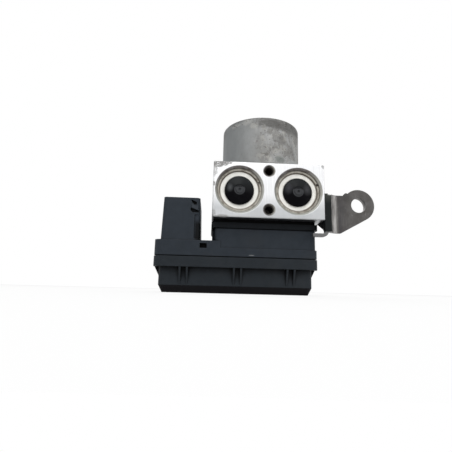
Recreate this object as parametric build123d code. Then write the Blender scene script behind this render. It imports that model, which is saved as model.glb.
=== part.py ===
from build123d import *
import math
import os

# ABS brake module: an electric pump motor on an aluminium valve block, with the control unit below it.
# Millimetres. Z runs up the pump motor's axis, and Z = 0 is the flat end face of the control unit's cover.
# The face with the two reservoirs looks to -Y, the brake pipe ports look to +Y.

# General clearances
seat_gap = 0.05          # radial gap of a piece seated in its own bore
running_gap = 0.05       # radial gap of a piece that slides or turns
end_gap = 0.3            # axial gap of a piece that must stay free

# Control unit: cover
cover_height = 29.2      # end face to the joint with the housing
rim_width = 135.9
rim_depth = 66.0
rim_corner = 6.5
rim_height = 8.4
rim_overhang = 4.3
bevel_height = 6.0
bevel_inset = 3.2
cover_wall = 2.2
ecu_offset_x = -22.25    # middle of the control unit, from the motor axis
ecu_setback = 10.0       # block's front face to the control unit's front
gusset_pitch = 43.9
gusset_spacing = 5.9
gusset_thickness = 1.6
gusset_shift = 0.85      # the row of gussets sits off the cover's middle
end_gusset_pitch = 33.5
end_gusset_foot = 12.5
seal_inset = 1.2
seal_width = 1.6
seal_height = 1.5

# Control unit: housing
flange_lip = 0.25        # how far the cover's rim stands proud of the housing
flange_height = 7.9
deck_height = 13.4       # connector side of the housing
shadow_line_height = 0.8
shadow_line_depth = 0.9
housing_wall = 2.4
housing_rim = 3.6
housing_height = 29.1
tower_width = 84.3
tower_behind_lead = 5.55   # motor lead's axis to the tower's back
tower_corner = 3.0
tower_offset_x = 1.35
tower_step = 0.5         # tower front behind the flange front
tower_floor = 14.0       # joint face to the top of the coil floor
floor_thickness = 2.0
lip_height = 4.7
lip_side = 2.3             # the lip reaches past the tower on each side
lip_shift = -0.4         # the lip reaches further out on the connector's side
lip_proud = 0.8
lip_groove = 0.7
column_radius = 3.7
lug_radius = 4.7
lug_height = 5.0
column_inset = 1.8
column_front = 12.7      # tower front to the front screw column on the tower's left side
column_pitch = 28.6
post_inset = 6.9         # tower's right side to the two screws inside it
post_front = 6.9
post_pitch = 41.2
screw_post_wall = 1.7
gasket_thickness = 2.5
gasket_inset = 1.6
gasket_width = 3.2
gasket_lug_inset = 0.6

# Connector shroud
shroud_width = 32.7
shroud_depth = 56.0
shroud_height = 35.9
shroud_corner = 4.0
shroud_draft = 1.8
shroud_wall = 2.6
shroud_from_end = 4.7    # housing's left end to the shroud
shroud_floor = 2.2
shroud_setback = 0.5
# Latch details on the shroud's front wall, as (left of its right side, below its top)
latch_window = [(8.8, 2.0), (7.6, 2.0), (4.0, 3.7), (4.0, 5.8), (5.6, 6.0), (7.6, 4.4)]
latch_ramp = [(7.6, 4.9), (5.4, 6.6), (2.4, 6.8), (2.4, 11.2), (8.4, 8.7)]
latch_undercut = [(9.0, 9.1), (8.0, 8.9), (2.0, 11.3), (2.0, 12.5), (7.0, 12.6), (8.8, 11.1)]
latch_proud = 1.3
undercut_depth = 1.7
window_depth = 2.0
latch_level = 12.0         # shroud's top to the foot of the undercut
channel_side = 1.6
channel_width = 3.8
channel_top = 14.5
channel_depth = 1.2
pocket_width = 5.8
pocket_height = 3.9
pocket_depth = 5.0
pin_size = 0.8
pin_pitch = 3.2
pin_columns = 3
pin_rows = 10
pin_height = 17.0
blade_width = 6.3
blade_thickness = 0.8
blade_count = 2
blade_pitch = 11.2
pin_slot_gap = 0.1

# Circuit board
board_thickness = 1.6
board_edge_gap = 0.8
board_drop = 8.0         # coil floor's underside to the board
rest_radius = 2.6
chip_x = -12.0
chip_size = 20.0
chip_height = 2.6
driver_x = 14.0
driver_size = 11.0
capacitor_x = -38.0
capacitor_count = 3
capacitor_radius = 5.0
capacitor_height = 15.0
capacitor_pitch = 12.0

# Hydraulic block
block_width = 92.0
block_depth = 72.8
block_height = 46.8
block_offset_x = 2.5
block_edge = 0.6

# Reservoirs in the front face
reservoir_side = 21.75     # block's side face to the reservoir's axis
mouth_radius = 20.25
mouth_depth = 1.4
step_radius = 18.6
washer_depth = 4.7       # front face to the washer
washer_thickness = 2.5
snap_ring_thickness = 1.8
snap_ring_width = 2.7
snap_ring_bite = 0.9
snap_ring_gap = 2.0
snap_ring_turn = 112.0     # from straight down to the gap
reservoir_radius = 15.0
reservoir_depth = 21.5
cap_radius = 12.0
cap_edge_depth = 2.6
cap_crown = 1.8
cap_boss_radius = 3.4
cap_boss_height = 0.9
cap_flange = 1.6
cap_wall = 1.8
piston_length = 6.0
piston_crown = 2.0
piston_skirt = 2.6
piston_stroke = 4.0
piston_seal_width = 1.8
piston_seal_depth = 1.5
reservoir_spring_radius = 8.2
reservoir_spring_wire = 0.8
reservoir_spring_turns = 3

# Threaded holes in the front face
mount_hole_radius = 3.4
mount_hole_pitch = 32.8
mount_hole_depth = 16.0
mount_hole_chamfer = 1.3

# Brake pipe ports in the back face
wheel_port_radius = 4.5
wheel_port_pitch = 21.5
wheel_port_count = 4
wheel_port_rise = 11.5
supply_port_radius = 5.5
supply_port_pitch = 43.0
supply_port_drop = 10.0
port_depth = 11.0
port_feed_radius = 1.2
port_feed_depth = 1.5
drill_point_rise = 0.6     # depth of a drilled bottom for each mm of its radius
port_face_depth = 0.6
port_face_margin = 2.2

# Solenoid valves, four across and two deep
valve_pitch_x = 19.5
valve_pitch_y = 20.5
valve_columns = 4
valve_row_y = -8.0
valve_radius = 5.4
valve_neck_radius = 4.0
valve_head_length = 7.5
valve_length = 17.0
dome_radius = 4.9
dome_wall = 0.5
plunger_stroke = 0.4
valve_spring_radius = 2.0
valve_spring_wire = 0.3
valve_spring_turns = 2.5
valve_spring_length = 2.6
spring_pocket_radius = 2.7
needle_radius = 0.9
needle_gap = 0.15
seat_depth = 2.0
coil_inner_radius = 5.5
coil_outer_radius = 8.2
cup_radius = 9.1
cup_wall = 0.7
cup_plate = 1.2
coil_pin_size = 0.7
coil_pin_spacing = 4.0
coil_pin_radius = 6.9

# Pump
pump_height = 31.7       # block's underside to the pump bore
chamber_radius = 13.2
chamber_bottom = 6.5     # pump axis to the chamber floor
eccentric_radius = 8.0
eccentric_offset = 1.0
eccentric_length = 9.6
ring_radius = 11.0
ring_length = 8.6
pump_piston_radius = 4.0
pump_piston_length = 15.3
pump_head_radius = 5.6
pump_head_length = 1.6
pump_bore_radius = 7.5
pump_step = 23.0         # motor axis to the step of the pump bore
pump_seal_length = 1.8
pump_stroke = 1.0
pump_spring_radius = 4.4
pump_spring_wire = 0.5
pump_spring_turns = 4
plug_recess = 0.3
plug_length = 6.7          # plug on the side nearer the motor axis
plug_seal_width = 1.6
plug_seal_depth = 1.2
plug_hex = 6.0
plug_hex_depth = 3.0

# Pump motor
can_radius = 34.9
can_height = 42.0
can_wall = 2.0
can_corner = 2.8
boss_radius = 10.0
boss_height = 3.5
ear_angle = 158.0
ear_distance = 40.6
ear_radius = 4.9
ear_thickness = 2.5
motor_seal_width = 1.2
motor_seal_height = 1.2
magnet_thickness = 5.2
magnet_length = 26.0
magnet_angle = 66.0
magnet_count = 4
air_gap = 0.8
core_length = 20.0
core_slots = 12
slot_width = 3.4
slot_depth = 9.0
tooth_opening = 1.4
winding_height = 4.5
winding_inner_radius = 12.0
commutator_radius = 9.0
commutator_length = 6.7
commutator_bars = 12
bar_gap = 0.5
brush_width = 6.0
brush_height = 4.5
brush_length = 10.0
brush_spring_radius = 1.7
brush_spring_wire = 0.4
brush_spring_turns = 4
brush_spring_length = 6.0
brush_box_wall = 0.8
brush_plate_thickness = 2.5
brush_plate_gap = 0.4
shaft_radius = 4.5
journal_radius = 6.0
shaft_collar_radius = 6.8
bearing_radius = 16.0
bearing_width = 10.0
bearing_circle = 11.0
ball_radius = 2.3
ball_count = 8
ball_groove = 2.5
bearing_land = 1.4
foot_radius = 4.0
foot_length = 5.6
bush_wall = 2.0
rear_journal_radius = 4.0
rear_bush_length = 4.0

# Motor lead through the block
lead_y = 19.8
lead_radius = 2.6
lead_pin_radius = 0.7
lead_pin_spacing = 2.6

# Fasteners
ecu_screw_radius = 2.0
ecu_screw_bite = 7.0
ecu_screw_head_radius = 3.5
ecu_screw_head = 2.6
motor_screw_radius = 2.5
motor_screw_bite = 8.0
motor_screw_head_radius = 4.2
motor_screw_head = 3.6
socket_depth = 2.0
hole_extra = 1.0
thread_gap = 0.05
pass_gap = 0.3

# Mounting bracket on the block's right side
sheet = 2.7
bracket_front = 0.7      # block's front face to the bracket's front edge
bracket_top = 0.8        # below the block's middle
bracket_height = 31.5
bracket_length = 47.5
bracket_rear_height = 21.5
bracket_slope_end = 24.3
hook_width = 4.0
hook_drop = 4.7          # bracket's lower edge to the hook's underside
hook_bend = 1.9
hook_reach = 10.1        # how far the hook reaches under the block
arm_bend = 8.6
arm_rise = 1.0           # arm's top edge above the leg's
arm_straight = 2.1
eye_x = 31.9             # block's right face to the eye
eye_drop = 7.8           # block's middle to the eye
eye_radius = 13.6
eye_hole_radius = 6.3
collar_length = 5.0
collar_radius = 12.9
collar_bore_radius = 7.4
arm_corner_run = 6.0     # bevel on the arm's upper front corner
arm_corner_drop = 2.4
nub_radius = 1.7         # rounded stop beside the eye
nub_x = 21.4
nub_rise = 0.7           # middle of the stop above the arm's top edge
bracket_bolt_radius = 3.0
bracket_bolt_bite = 8.5
bracket_bolt_pitch = 14.0
bracket_bolt_y = -8.0
bracket_bolt_drop = 9.2
bolt_head_height = 4.0
bolt_head_size = 10.0

# Derived levels and places
rim_bottom = cover_height - rim_height
housing_top = cover_height + housing_height
block_bottom = housing_top + gasket_thickness
block_top = block_bottom + block_height
block_middle = (block_bottom + block_top) / 2
block_front = -block_depth / 2
block_back = block_depth / 2
block_left = block_offset_x - block_width / 2
reservoir_pitch = block_width - 2 * reservoir_side
block_right = block_offset_x + block_width / 2
ecu_front = block_front + ecu_setback
ecu_middle_y = ecu_front + rim_depth / 2
body_width = rim_width - 2 * rim_overhang
body_depth = rim_depth - 2 * rim_overhang
body_corner = rim_corner - 1.5
flange_width = rim_width - 2 * flange_lip
flange_depth = rim_depth - 2 * flange_lip
flange_corner = rim_corner - flange_lip
flange_top = cover_height + flange_height
deck_top = cover_height + deck_height
flange_front = ecu_front + flange_lip
tower_front = flange_front + tower_step
tower_depth = lead_y + tower_behind_lead - tower_front
tower_middle_y = tower_front + tower_depth / 2
lip_width = tower_width + 2 * lip_side
tower_left = tower_offset_x - tower_width / 2
tower_right = tower_offset_x + tower_width / 2
floor_top = cover_height + tower_floor
floor_bottom = floor_top - floor_thickness
lip_bottom = housing_top - lip_height
board_top = floor_bottom - board_drop
board_bottom = board_top - board_thickness
board_width = flange_width - 2 * (housing_rim + board_edge_gap)
board_depth = flange_depth - 2 * (housing_rim + board_edge_gap)
shroud_middle_x = ecu_offset_x - flange_width / 2 + shroud_from_end + shroud_width / 2
shroud_middle_y = flange_front + shroud_setback + shroud_depth / 2
shroud_top = deck_top + shroud_height
shroud_inner_width = shroud_width - 2 * shroud_wall - 2 * shroud_height * math.tan(math.radians(shroud_draft))
shroud_inner_depth = shroud_depth - 2 * shroud_wall - 2 * shroud_height * math.tan(math.radians(shroud_draft))
pump_axis = block_bottom + pump_height
chamber_floor = pump_axis - chamber_bottom
bearing_bottom = block_top - bearing_width
can_top = block_top + can_height
can_inner = can_radius - can_wall
magnet_inner = can_inner - seat_gap - magnet_thickness
core_radius = magnet_inner - air_gap
plate_bottom = block_top + brush_plate_gap
plate_top = plate_bottom + brush_plate_thickness
commutator_bottom = plate_top + end_gap
core_bottom = commutator_bottom + commutator_length + winding_height - 0.5
core_top = core_bottom + core_length
magnet_bottom = (core_bottom + core_top - magnet_length) / 2
foot_bottom = chamber_floor - foot_length
piston_tip = ring_radius + eccentric_offset + end_gap
plug_inner_face = min(-block_left, block_right) - plug_recess - plug_length
pump_spring_length = plug_inner_face - piston_tip - pump_piston_length
column_x = tower_left + column_inset
column_places = [(column_x, tower_front + column_front + i * column_pitch) for i in range(2)]
post_places = [(tower_right - post_inset, tower_front + post_front + i * post_pitch) for i in range(2)]
screw_places = column_places + post_places
ear_turns = [ear_angle, ear_angle + 180]
leg_left = block_right
leg_right = leg_left + sheet
leg_front = block_front + bracket_front
leg_top = block_middle - bracket_top
leg_bottom = leg_top - bracket_height
plate_front_y = leg_front + arm_bend


def box_between(x0, x1, y0, y1, z0, z1):
    return Pos((x0 + x1) / 2, (y0 + y1) / 2, (z0 + z1) / 2) * Box(abs(x1 - x0), abs(y1 - y0), abs(z1 - z0))


def rod_z(radius, z0, z1, x=0.0, y=0.0):
    return Pos(x, y, (z0 + z1) / 2) * Cylinder(radius, abs(z1 - z0))


def rod_x(radius, x0, x1, y, z):
    return Pos((x0 + x1) / 2, y, z) * Rot(0, 90, 0) * Cylinder(radius, abs(x1 - x0))


def rod_y(radius, y0, y1, x, z):
    return Pos(x, (y0 + y1) / 2, z) * Rot(90, 0, 0) * Cylinder(radius, abs(y1 - y0))


def rounded_slab(width, depth, corner, z0, z1, x, y):
    return Pos(x, y, z0) * extrude(RectangleRounded(width, depth, corner), z1 - z0)


def ring_slab(width, depth, corner, wall, z0, z1, x, y):
    outer = RectangleRounded(width, depth, corner)
    inner = RectangleRounded(width - 2 * wall, depth - 2 * wall, max(corner - wall, 0.5))
    return Pos(x, y, z0) * extrude(outer - inner, z1 - z0)


def turned(points):
    """Solid turned about Z from (radius, height) points."""
    return revolve(Plane.XZ * make_face(Polyline(*points, close=True)), Axis.Z)


def coil_spring(mean_radius, wire_radius, length, turns):
    """Helical wire standing on Z = 0."""
    height = length - 2 * wire_radius
    path = Helix(pitch=height / turns, height=height, radius=mean_radius)
    wire = Plane(origin=path @ 0, z_dir=path % 0) * Circle(wire_radius)
    return Pos(0, 0, wire_radius) * sweep(wire, path, is_frenet=True)


def solid_list(shapes):
    result = []
    for shape in shapes:
        result.extend(shape.solids())
    return Compound(result)


# ---- Reservoirs ----

reservoir_xs = [block_offset_x - reservoir_pitch / 2, block_offset_x + reservoir_pitch / 2]


def facing_front(shape, x, depth=0.0):
    """Place a piece turned about Z so that its +Z looks out of the block's front face."""
    return Pos(x, block_front + depth, block_middle) * Rot(90, 0, 0) * shape


def reservoir_bore():
    washer_back = washer_depth + washer_thickness
    groove_front = washer_depth - snap_ring_thickness
    over = 1.0
    return turned([
        (0, over), (mouth_radius, over), (mouth_radius, 0),
        (step_radius, -mouth_depth), (step_radius, -groove_front),
        (step_radius + snap_ring_bite, -groove_front), (step_radius + snap_ring_bite, -washer_depth),
        (step_radius, -washer_depth), (step_radius, -washer_back),
        (reservoir_radius, -washer_back), (reservoir_radius, -reservoir_depth), (0, -reservoir_depth),
    ])


def reservoir_washer():
    inner = cap_radius + 2 * seat_gap
    z0 = -(washer_depth + washer_thickness)
    return turned([
        (inner, z0), (step_radius - seat_gap, z0), (step_radius - seat_gap, -washer_depth),
        (inner, -washer_depth),
    ])


def snap_ring():
    outer = step_radius + snap_ring_bite - seat_gap
    inner = outer - snap_ring_width
    z0 = -washer_depth
    z1 = z0 + snap_ring_thickness
    ring = turned([(inner, z0), (outer, z0), (outer, z1), (inner, z1)])
    half = snap_ring_gap / 2
    gap = box_between(-half, half, -outer - 1, -outer + 2 * snap_ring_width, z0 - 1, z1 + 1)
    return Rot(0, 0, snap_ring_turn) * (ring - gap)


def reservoir_cap():
    back = -(washer_depth + washer_thickness + cap_flange)
    flange_front_face = -(washer_depth + washer_thickness)
    crown = -cap_edge_depth + cap_crown
    inside = cap_radius - cap_wall
    body = turned([
        (0, back), (reservoir_radius - seat_gap, back), (reservoir_radius - seat_gap, flange_front_face),
        (cap_radius, flange_front_face), (cap_radius, -cap_edge_depth - 0.6),
        (cap_radius - 0.6, -cap_edge_depth), (cap_boss_radius + 1.2, crown), (cap_boss_radius, crown),
        (cap_boss_radius - 0.4, crown + cap_boss_height), (1.0, crown + cap_boss_height),
        (0.6, crown + cap_boss_height - 0.5), (0, crown + cap_boss_height - 0.5),
    ])
    hollow = turned([
        (0, back - 1), (inside, back - 1), (inside, -cap_edge_depth - cap_wall),
        (inside - 2, -cap_edge_depth - cap_wall), (0, -cap_edge_depth - cap_wall),
    ])
    return body - hollow


spring_seat_depth = cap_edge_depth + cap_wall
piston_bottom_depth = reservoir_depth - end_gap
piston_top_depth = piston_bottom_depth - piston_length


def reservoir_piston():
    outer = reservoir_radius - running_gap
    bottom = -piston_bottom_depth
    top = -piston_top_depth
    groove_low = bottom + piston_crown
    groove_high = groove_low + piston_seal_width + 0.2
    inside = outer - piston_skirt
    return turned([
        (0, bottom), (outer, bottom), (outer, groove_low), (outer - piston_seal_depth, groove_low),
        (outer - piston_seal_depth, groove_high), (outer, groove_high), (outer, top), (inside, top),
        (inside, bottom + piston_crown), (0, bottom + piston_crown),
    ])


def reservoir_piston_seal():
    outer = reservoir_radius - running_gap / 2
    inner = reservoir_radius - running_gap - piston_seal_depth + 0.05
    z0 = -piston_bottom_depth + piston_crown + 0.1
    z1 = z0 + piston_seal_width
    return turned([(inner, z0), (outer, z0), (outer, z1), (inner, z1)])


def reservoir_spring():
    length = piston_bottom_depth - piston_crown - spring_seat_depth
    spring = coil_spring(reservoir_spring_radius, reservoir_spring_wire, length, reservoir_spring_turns)
    return Pos(0, 0, -(piston_bottom_depth - piston_crown)) * spring


# ---- Valves ----

valve_xs = [tower_offset_x + (i - (valve_columns - 1) / 2) * valve_pitch_x for i in range(valve_columns)]
valve_ys = [valve_row_y, valve_row_y + valve_pitch_y]
valve_places = [(x, y) for y in valve_ys for x in valve_xs]
dome_bottom = floor_top + cup_plate
plunger_bottom = dome_bottom + dome_wall + end_gap + plunger_stroke
plunger_top = block_bottom - valve_spring_length


def valve_bore(x, y):
    neck_start = block_bottom + valve_head_length
    head = rod_z(valve_radius, block_bottom - 1, neck_start, x, y)
    neck = rod_z(valve_neck_radius, neck_start - 1, block_bottom + valve_length, x, y)
    return head + neck


def valve_body(x, y):
    neck_start = block_bottom + valve_head_length
    top = block_bottom + valve_length - end_gap
    needle_bore = needle_radius + needle_gap
    head_r = valve_radius - seat_gap
    neck_r = valve_neck_radius - seat_gap
    body = turned([
        (needle_bore, block_bottom), (head_r, block_bottom), (head_r, neck_start), (neck_r, neck_start),
        (neck_r, top - 1.0), (neck_r - 1.0, top), (0.4, top), (0.4, top - seat_depth + 0.5),
        (needle_bore, top - seat_depth),
    ])
    return Pos(x, y, 0) * body


def valve_dome(x, y):
    inner = dome_radius - dome_wall
    shell = rod_z(dome_radius, dome_bottom, block_bottom, x, y)
    shell = fillet(shell.edges().group_by(Axis.Z)[0], 1.5)
    hollow = rod_z(inner, dome_bottom + dome_wall, block_bottom + 1, x, y)
    hollow = fillet(hollow.edges().group_by(Axis.Z)[0], 1.2)
    return shell - hollow


def valve_plunger(x, y, lift):
    """The magnetic core of one valve with its needle. lift raises an outlet valve's core onto its seat."""
    radius = dome_radius - dome_wall - running_gap
    needle_top = block_bottom + valve_length - end_gap - seat_depth - end_gap - plunger_stroke + lift
    body = turned([
        (0, plunger_bottom + lift), (radius - 1.3, plunger_bottom + lift),
        (radius, plunger_bottom + 1.3 + lift), (radius, plunger_top + lift),
        (needle_radius, plunger_top + lift), (needle_radius, needle_top - 0.6),
        (0.3, needle_top), (0, needle_top),
    ])
    if lift > 0:
        body = body - rod_z(spring_pocket_radius, plunger_bottom - 1, spring_pocket_top())
    return Pos(x, y, 0) * body


def spring_pocket_top():
    """An outlet valve's spring stands on the dome's floor, in a pocket of the core."""
    return dome_bottom + dome_wall + valve_spring_length


def valve_springs():
    springs = []
    wire = (valve_spring_radius, valve_spring_wire)
    for row_y, low in zip(valve_ys, (plunger_top, dome_bottom + dome_wall)):
        for x in valve_xs:
            spring = coil_spring(*wire, valve_spring_length, valve_spring_turns)
            springs.append(Pos(x, row_y, low) * spring)
    return solid_list(springs)


def coil(x, y):
    z0 = floor_top + cup_plate
    z1 = housing_top - cup_plate
    return rod_z(coil_outer_radius, z0, z1, x, y) - rod_z(coil_inner_radius, z0, z1, x, y)


def coil_cup(x, y):
    z0 = floor_top
    z1 = housing_top
    hole = dome_radius + pass_gap
    inside = cup_radius - cup_wall
    cup = turned([
        (hole, z0), (cup_radius, z0), (cup_radius, z1), (hole, z1), (hole, z1 - cup_plate),
        (inside, z1 - cup_plate), (inside, z0 + cup_plate), (hole, z0 + cup_plate),
    ])
    notch_half = coil_pin_spacing / 2 + coil_pin_size
    notch_y0 = -coil_pin_radius - coil_pin_size
    notch_y1 = -coil_pin_radius + coil_pin_size
    notch = box_between(-notch_half, notch_half, notch_y0, notch_y1, z0 - 1, z0 + cup_plate + 0.1)
    return Pos(x, y, 0) * (cup - notch)


def coil_pin_pair(x, y):
    pins = []
    for side in (-1, 1):
        px = x + side * coil_pin_spacing / 2
        py = y - coil_pin_radius
        half = coil_pin_size / 2
        pins.append(box_between(px - half, px + half, py - half, py + half, board_top, floor_top + cup_plate))
    return pins


def coil_pin_slot(x, y):
    notch_half = coil_pin_spacing / 2 + coil_pin_size
    y0 = y - coil_pin_radius - coil_pin_size
    y1 = y - coil_pin_radius + coil_pin_size
    return box_between(x - notch_half, x + notch_half, y0, y1, floor_bottom - 1, floor_top + 1)


# ---- Pump ----

def pump_side(shape, side):
    """side 1 is the right pump, as modelled along +X, and -1 the left one."""
    turn = 0 if side > 0 else 180
    return Pos(0, 0, pump_axis) * Rot(0, 0, turn) * shape


def along_x(shape):
    """Turn a piece made about Z to lie along +X."""
    return Rot(0, 90, 0) * shape


def pump_bore(side):
    face = block_right if side > 0 else -block_left
    guide = rod_x(pump_piston_radius + running_gap, chamber_radius - 2, pump_step + 1, 0, 0)
    wide = rod_x(pump_bore_radius, pump_step, face + 1, 0, 0)
    return pump_side(guide + wide, side)


def pump_piston():
    shoulder = piston_tip + pump_piston_length - pump_head_length
    end = piston_tip + pump_piston_length
    return along_x(turned([
        (0, piston_tip), (pump_piston_radius - 0.8, piston_tip), (pump_piston_radius, piston_tip + 0.8),
        (pump_piston_radius, shoulder), (pump_head_radius, shoulder), (pump_head_radius, end), (0, end),
    ]))


def pump_guide_seal():
    z0 = pump_step
    z1 = pump_step + pump_seal_length
    inner = pump_piston_radius + running_gap
    outer = pump_bore_radius - seat_gap
    return along_x(turned([(inner, z0), (outer, z0), (outer, z1), (inner, z1)]))


def pump_spring():
    spring = coil_spring(pump_spring_radius, pump_spring_wire, pump_spring_length, pump_spring_turns)
    return along_x(Pos(0, 0, piston_tip + pump_piston_length) * spring)


def plug_groove():
    z0 = plug_inner_face + 1.5
    z1 = z0 + plug_seal_width + 0.2
    return z0, z1


def pump_plug(side):
    face = (block_right if side > 0 else -block_left) - plug_recess
    outer = pump_bore_radius - seat_gap
    z0, z1 = plug_groove()
    plug = turned([
        (0, plug_inner_face), (outer, plug_inner_face), (outer, z0), (outer - plug_seal_depth, z0),
        (outer - plug_seal_depth, z1), (outer, z1), (outer, face - 0.5), (outer - 0.5, face), (0, face),
    ])
    hexagon = RegularPolygon(plug_hex / math.sqrt(3), 6)
    return along_x(plug - Pos(0, 0, face - plug_hex_depth) * extrude(hexagon, plug_hex_depth + 1))


def pump_plug_seal():
    z0, z1 = plug_groove()
    inner = pump_bore_radius - seat_gap - plug_seal_depth + 0.05
    outer = pump_bore_radius - seat_gap
    return along_x(turned([(inner, z0 + 0.1), (outer, z0 + 0.1), (outer, z1 - 0.1), (inner, z1 - 0.1)]))


# ---- Hydraulic block ----

wheel_port_start = block_offset_x - (wheel_port_count - 1) / 2 * wheel_port_pitch
wheel_port_xs = [wheel_port_start + i * wheel_port_pitch for i in range(wheel_port_count)]
supply_port_xs = [block_offset_x - supply_port_pitch / 2, block_offset_x + supply_port_pitch / 2]


def pipe_port(radius, x, z):
    """Bore with a spot face, a conical bottom for the pipe's flare and a feed hole."""
    cone_bottom = -port_depth - (radius - port_feed_radius) * drill_point_rise
    bore = turned([
        (0, 1.0), (radius + port_face_margin, 1.0), (radius + port_face_margin, -port_face_depth),
        (radius + 0.8, -port_face_depth), (radius, -port_face_depth - 0.8), (radius, -port_depth),
        (port_feed_radius, cone_bottom), (port_feed_radius, cone_bottom - port_feed_depth),
        (0, cone_bottom - port_feed_depth),
    ])
    return Pos(x, block_back, z) * Rot(-90, 0, 0) * bore


def mount_hole(z):
    lead = mount_hole_radius + mount_hole_chamfer
    bore = turned([
        (0, 1.0), (lead + 1.0, 1.0), (mount_hole_radius, -mount_hole_chamfer),
        (mount_hole_radius, -mount_hole_depth), (0, -mount_hole_depth - 1.5),
    ])
    return Pos(block_offset_x, block_front, z) * Rot(90, 0, 0) * bore


def bracket_bolt_places():
    y0 = bracket_bolt_y
    z = block_middle - bracket_bolt_drop
    return [(y0, z), (y0 + bracket_bolt_pitch, z)]


def ear_place(turn):
    return ear_distance * math.cos(math.radians(turn)), ear_distance * math.sin(math.radians(turn))


def hydraulic_block():
    body = box_between(block_left, block_right, block_front, block_back, block_bottom, block_top)
    body = chamfer(body.edges(), block_edge)
    cuts = [facing_front(reservoir_bore(), x) for x in reservoir_xs]
    cuts += [mount_hole(block_middle + side * mount_hole_pitch / 2) for side in (-1, 1)]
    cuts += [pipe_port(wheel_port_radius, x, block_middle + wheel_port_rise) for x in wheel_port_xs]
    cuts += [pipe_port(supply_port_radius, x, block_middle - supply_port_drop) for x in supply_port_xs]
    cuts += [valve_bore(x, y) for x, y in valve_places]
    cuts += [pump_bore(side) for side in (-1, 1)]
    cuts.append(rod_z(bearing_radius, bearing_bottom, block_top + 1))
    cuts.append(rod_z(chamber_radius, chamber_floor, bearing_bottom + 1))
    cuts.append(rod_z(foot_radius + running_gap + bush_wall, foot_bottom, chamber_floor + 1))
    seal_middle = can_radius - can_wall / 2
    seal_half = motor_seal_width / 2 + seat_gap
    seal_floor = block_top - motor_seal_height
    cuts.append(turned([
        (seal_middle - seal_half, seal_floor), (seal_middle + seal_half, seal_floor),
        (seal_middle + seal_half, block_top + 1), (seal_middle - seal_half, block_top + 1),
    ]))
    cuts.append(rod_z(lead_radius + seat_gap, block_bottom - 1, block_top + 1, tower_offset_x, lead_y))
    for x, y in screw_places:
        hole_top = block_bottom + ecu_screw_bite + hole_extra
        cuts.append(rod_z(ecu_screw_radius + thread_gap, block_bottom - 1, hole_top, x, y))
    for turn in ear_turns:
        x, y = ear_place(turn)
        hole_bottom = block_top - motor_screw_bite - hole_extra
        cuts.append(rod_z(motor_screw_radius + thread_gap, hole_bottom, block_top + 1, x, y))
    for y, z in bracket_bolt_places():
        cuts.append(rod_x(bracket_bolt_radius + thread_gap, block_right - bracket_bolt_bite - hole_extra,
                          block_right + 1, y, z))
    return body - cuts


# ---- Control unit ----

def ecu_slab(width, depth, corner, z0, z1):
    return rounded_slab(width, depth, corner, z0, z1, ecu_offset_x, ecu_middle_y)


def tower_slab(width, depth, corner, z0, z1):
    return rounded_slab(width, depth, corner, z0, z1, tower_offset_x, tower_middle_y)


def left_of(x, z1):
    """Everything in the control unit's reach to the left of x, up to z1."""
    return box_between(ecu_offset_x - flange_width, x, -2 * rim_depth, 2 * rim_depth, 0, z1)


def gusset(foot):
    """One triangular web under the rim, on the +Y side of the origin, against a wall at Y = 0."""
    sink = 0.4
    reach = rim_overhang - 0.2
    face = make_face(Polyline((-sink, foot), (0, foot), (reach, rim_bottom), (-sink, rim_bottom), close=True))
    web = extrude(Plane.YZ * face, gusset_thickness)
    return Pos(-gusset_thickness / 2, 0, 0) * web


def gussets():
    webs = []
    half_depth = body_depth / 2
    half_width = body_width / 2
    for i in (-1, 0, 1):
        for side in (-1, 1):
            x = ecu_offset_x + gusset_shift + i * gusset_pitch + side * gusset_spacing / 2
            web = gusset(bevel_height + 1.0)
            webs.append(Pos(x, ecu_middle_y + half_depth, 0) * web)
            webs.append(Pos(x, ecu_middle_y - half_depth, 0) * Rot(0, 0, 180) * web)
    for pair in (-1, 1):
        for side in (-1, 1):
            y = ecu_middle_y + pair * end_gusset_pitch / 2 + side * gusset_spacing / 2
            web = gusset(end_gusset_foot)
            webs.append(Pos(ecu_offset_x - half_width, y, 0) * Rot(0, 0, 90) * web)
            webs.append(Pos(ecu_offset_x + half_width, y, 0) * Rot(0, 0, -90) * web)
    return webs


def ecu_cover():
    body = ecu_slab(body_width, body_depth, body_corner, bevel_height, cover_height)
    outline = RectangleRounded(body_width, body_depth, body_corner)
    slope = math.degrees(math.atan2(bevel_inset, bevel_height))
    bevel = Rot(180, 0, 0) * extrude(outline, bevel_height, taper=slope)
    body = body + Pos(ecu_offset_x, ecu_middle_y, bevel_height) * bevel
    rim = ecu_slab(rim_width, rim_depth, rim_corner, rim_bottom, cover_height)
    cavity_width = body_width - 2 * cover_wall
    cavity_depth = body_depth - 2 * cover_wall
    cavity_corner = max(body_corner - cover_wall, 1.0)
    cavity = ecu_slab(cavity_width, cavity_depth, cavity_corner, bevel_height, cover_height + 1)
    shallow_width = cavity_width - 2 * bevel_inset
    shallow_depth = cavity_depth - 2 * bevel_inset
    shallow = ecu_slab(shallow_width, shallow_depth, 1.5, cover_wall, bevel_height + 1)
    groove_gap = 0.1
    groove = ring_slab(rim_width - 2 * seal_inset, rim_depth - 2 * seal_inset, rim_corner - seal_inset,
                       seal_width + 2 * groove_gap, cover_height - seal_height, cover_height + 1,
                       ecu_offset_x, ecu_middle_y)
    return body + [rim] + gussets() - [cavity, shallow, groove]


def cover_seal():
    inset = seal_inset + 0.1
    return ring_slab(rim_width - 2 * inset, rim_depth - 2 * inset, rim_corner - inset, seal_width,
                     cover_height - seal_height, cover_height, ecu_offset_x, ecu_middle_y)


def rods_at(places, radius, z0, z1):
    return [rod_z(radius, z0, z1, x, y) for x, y in places]


def connector_shroud():
    outline = RectangleRounded(shroud_width, shroud_depth, shroud_corner)
    body = extrude(outline, shroud_height, taper=shroud_draft)
    return Pos(shroud_middle_x, shroud_middle_y, deck_top) * body


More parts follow.
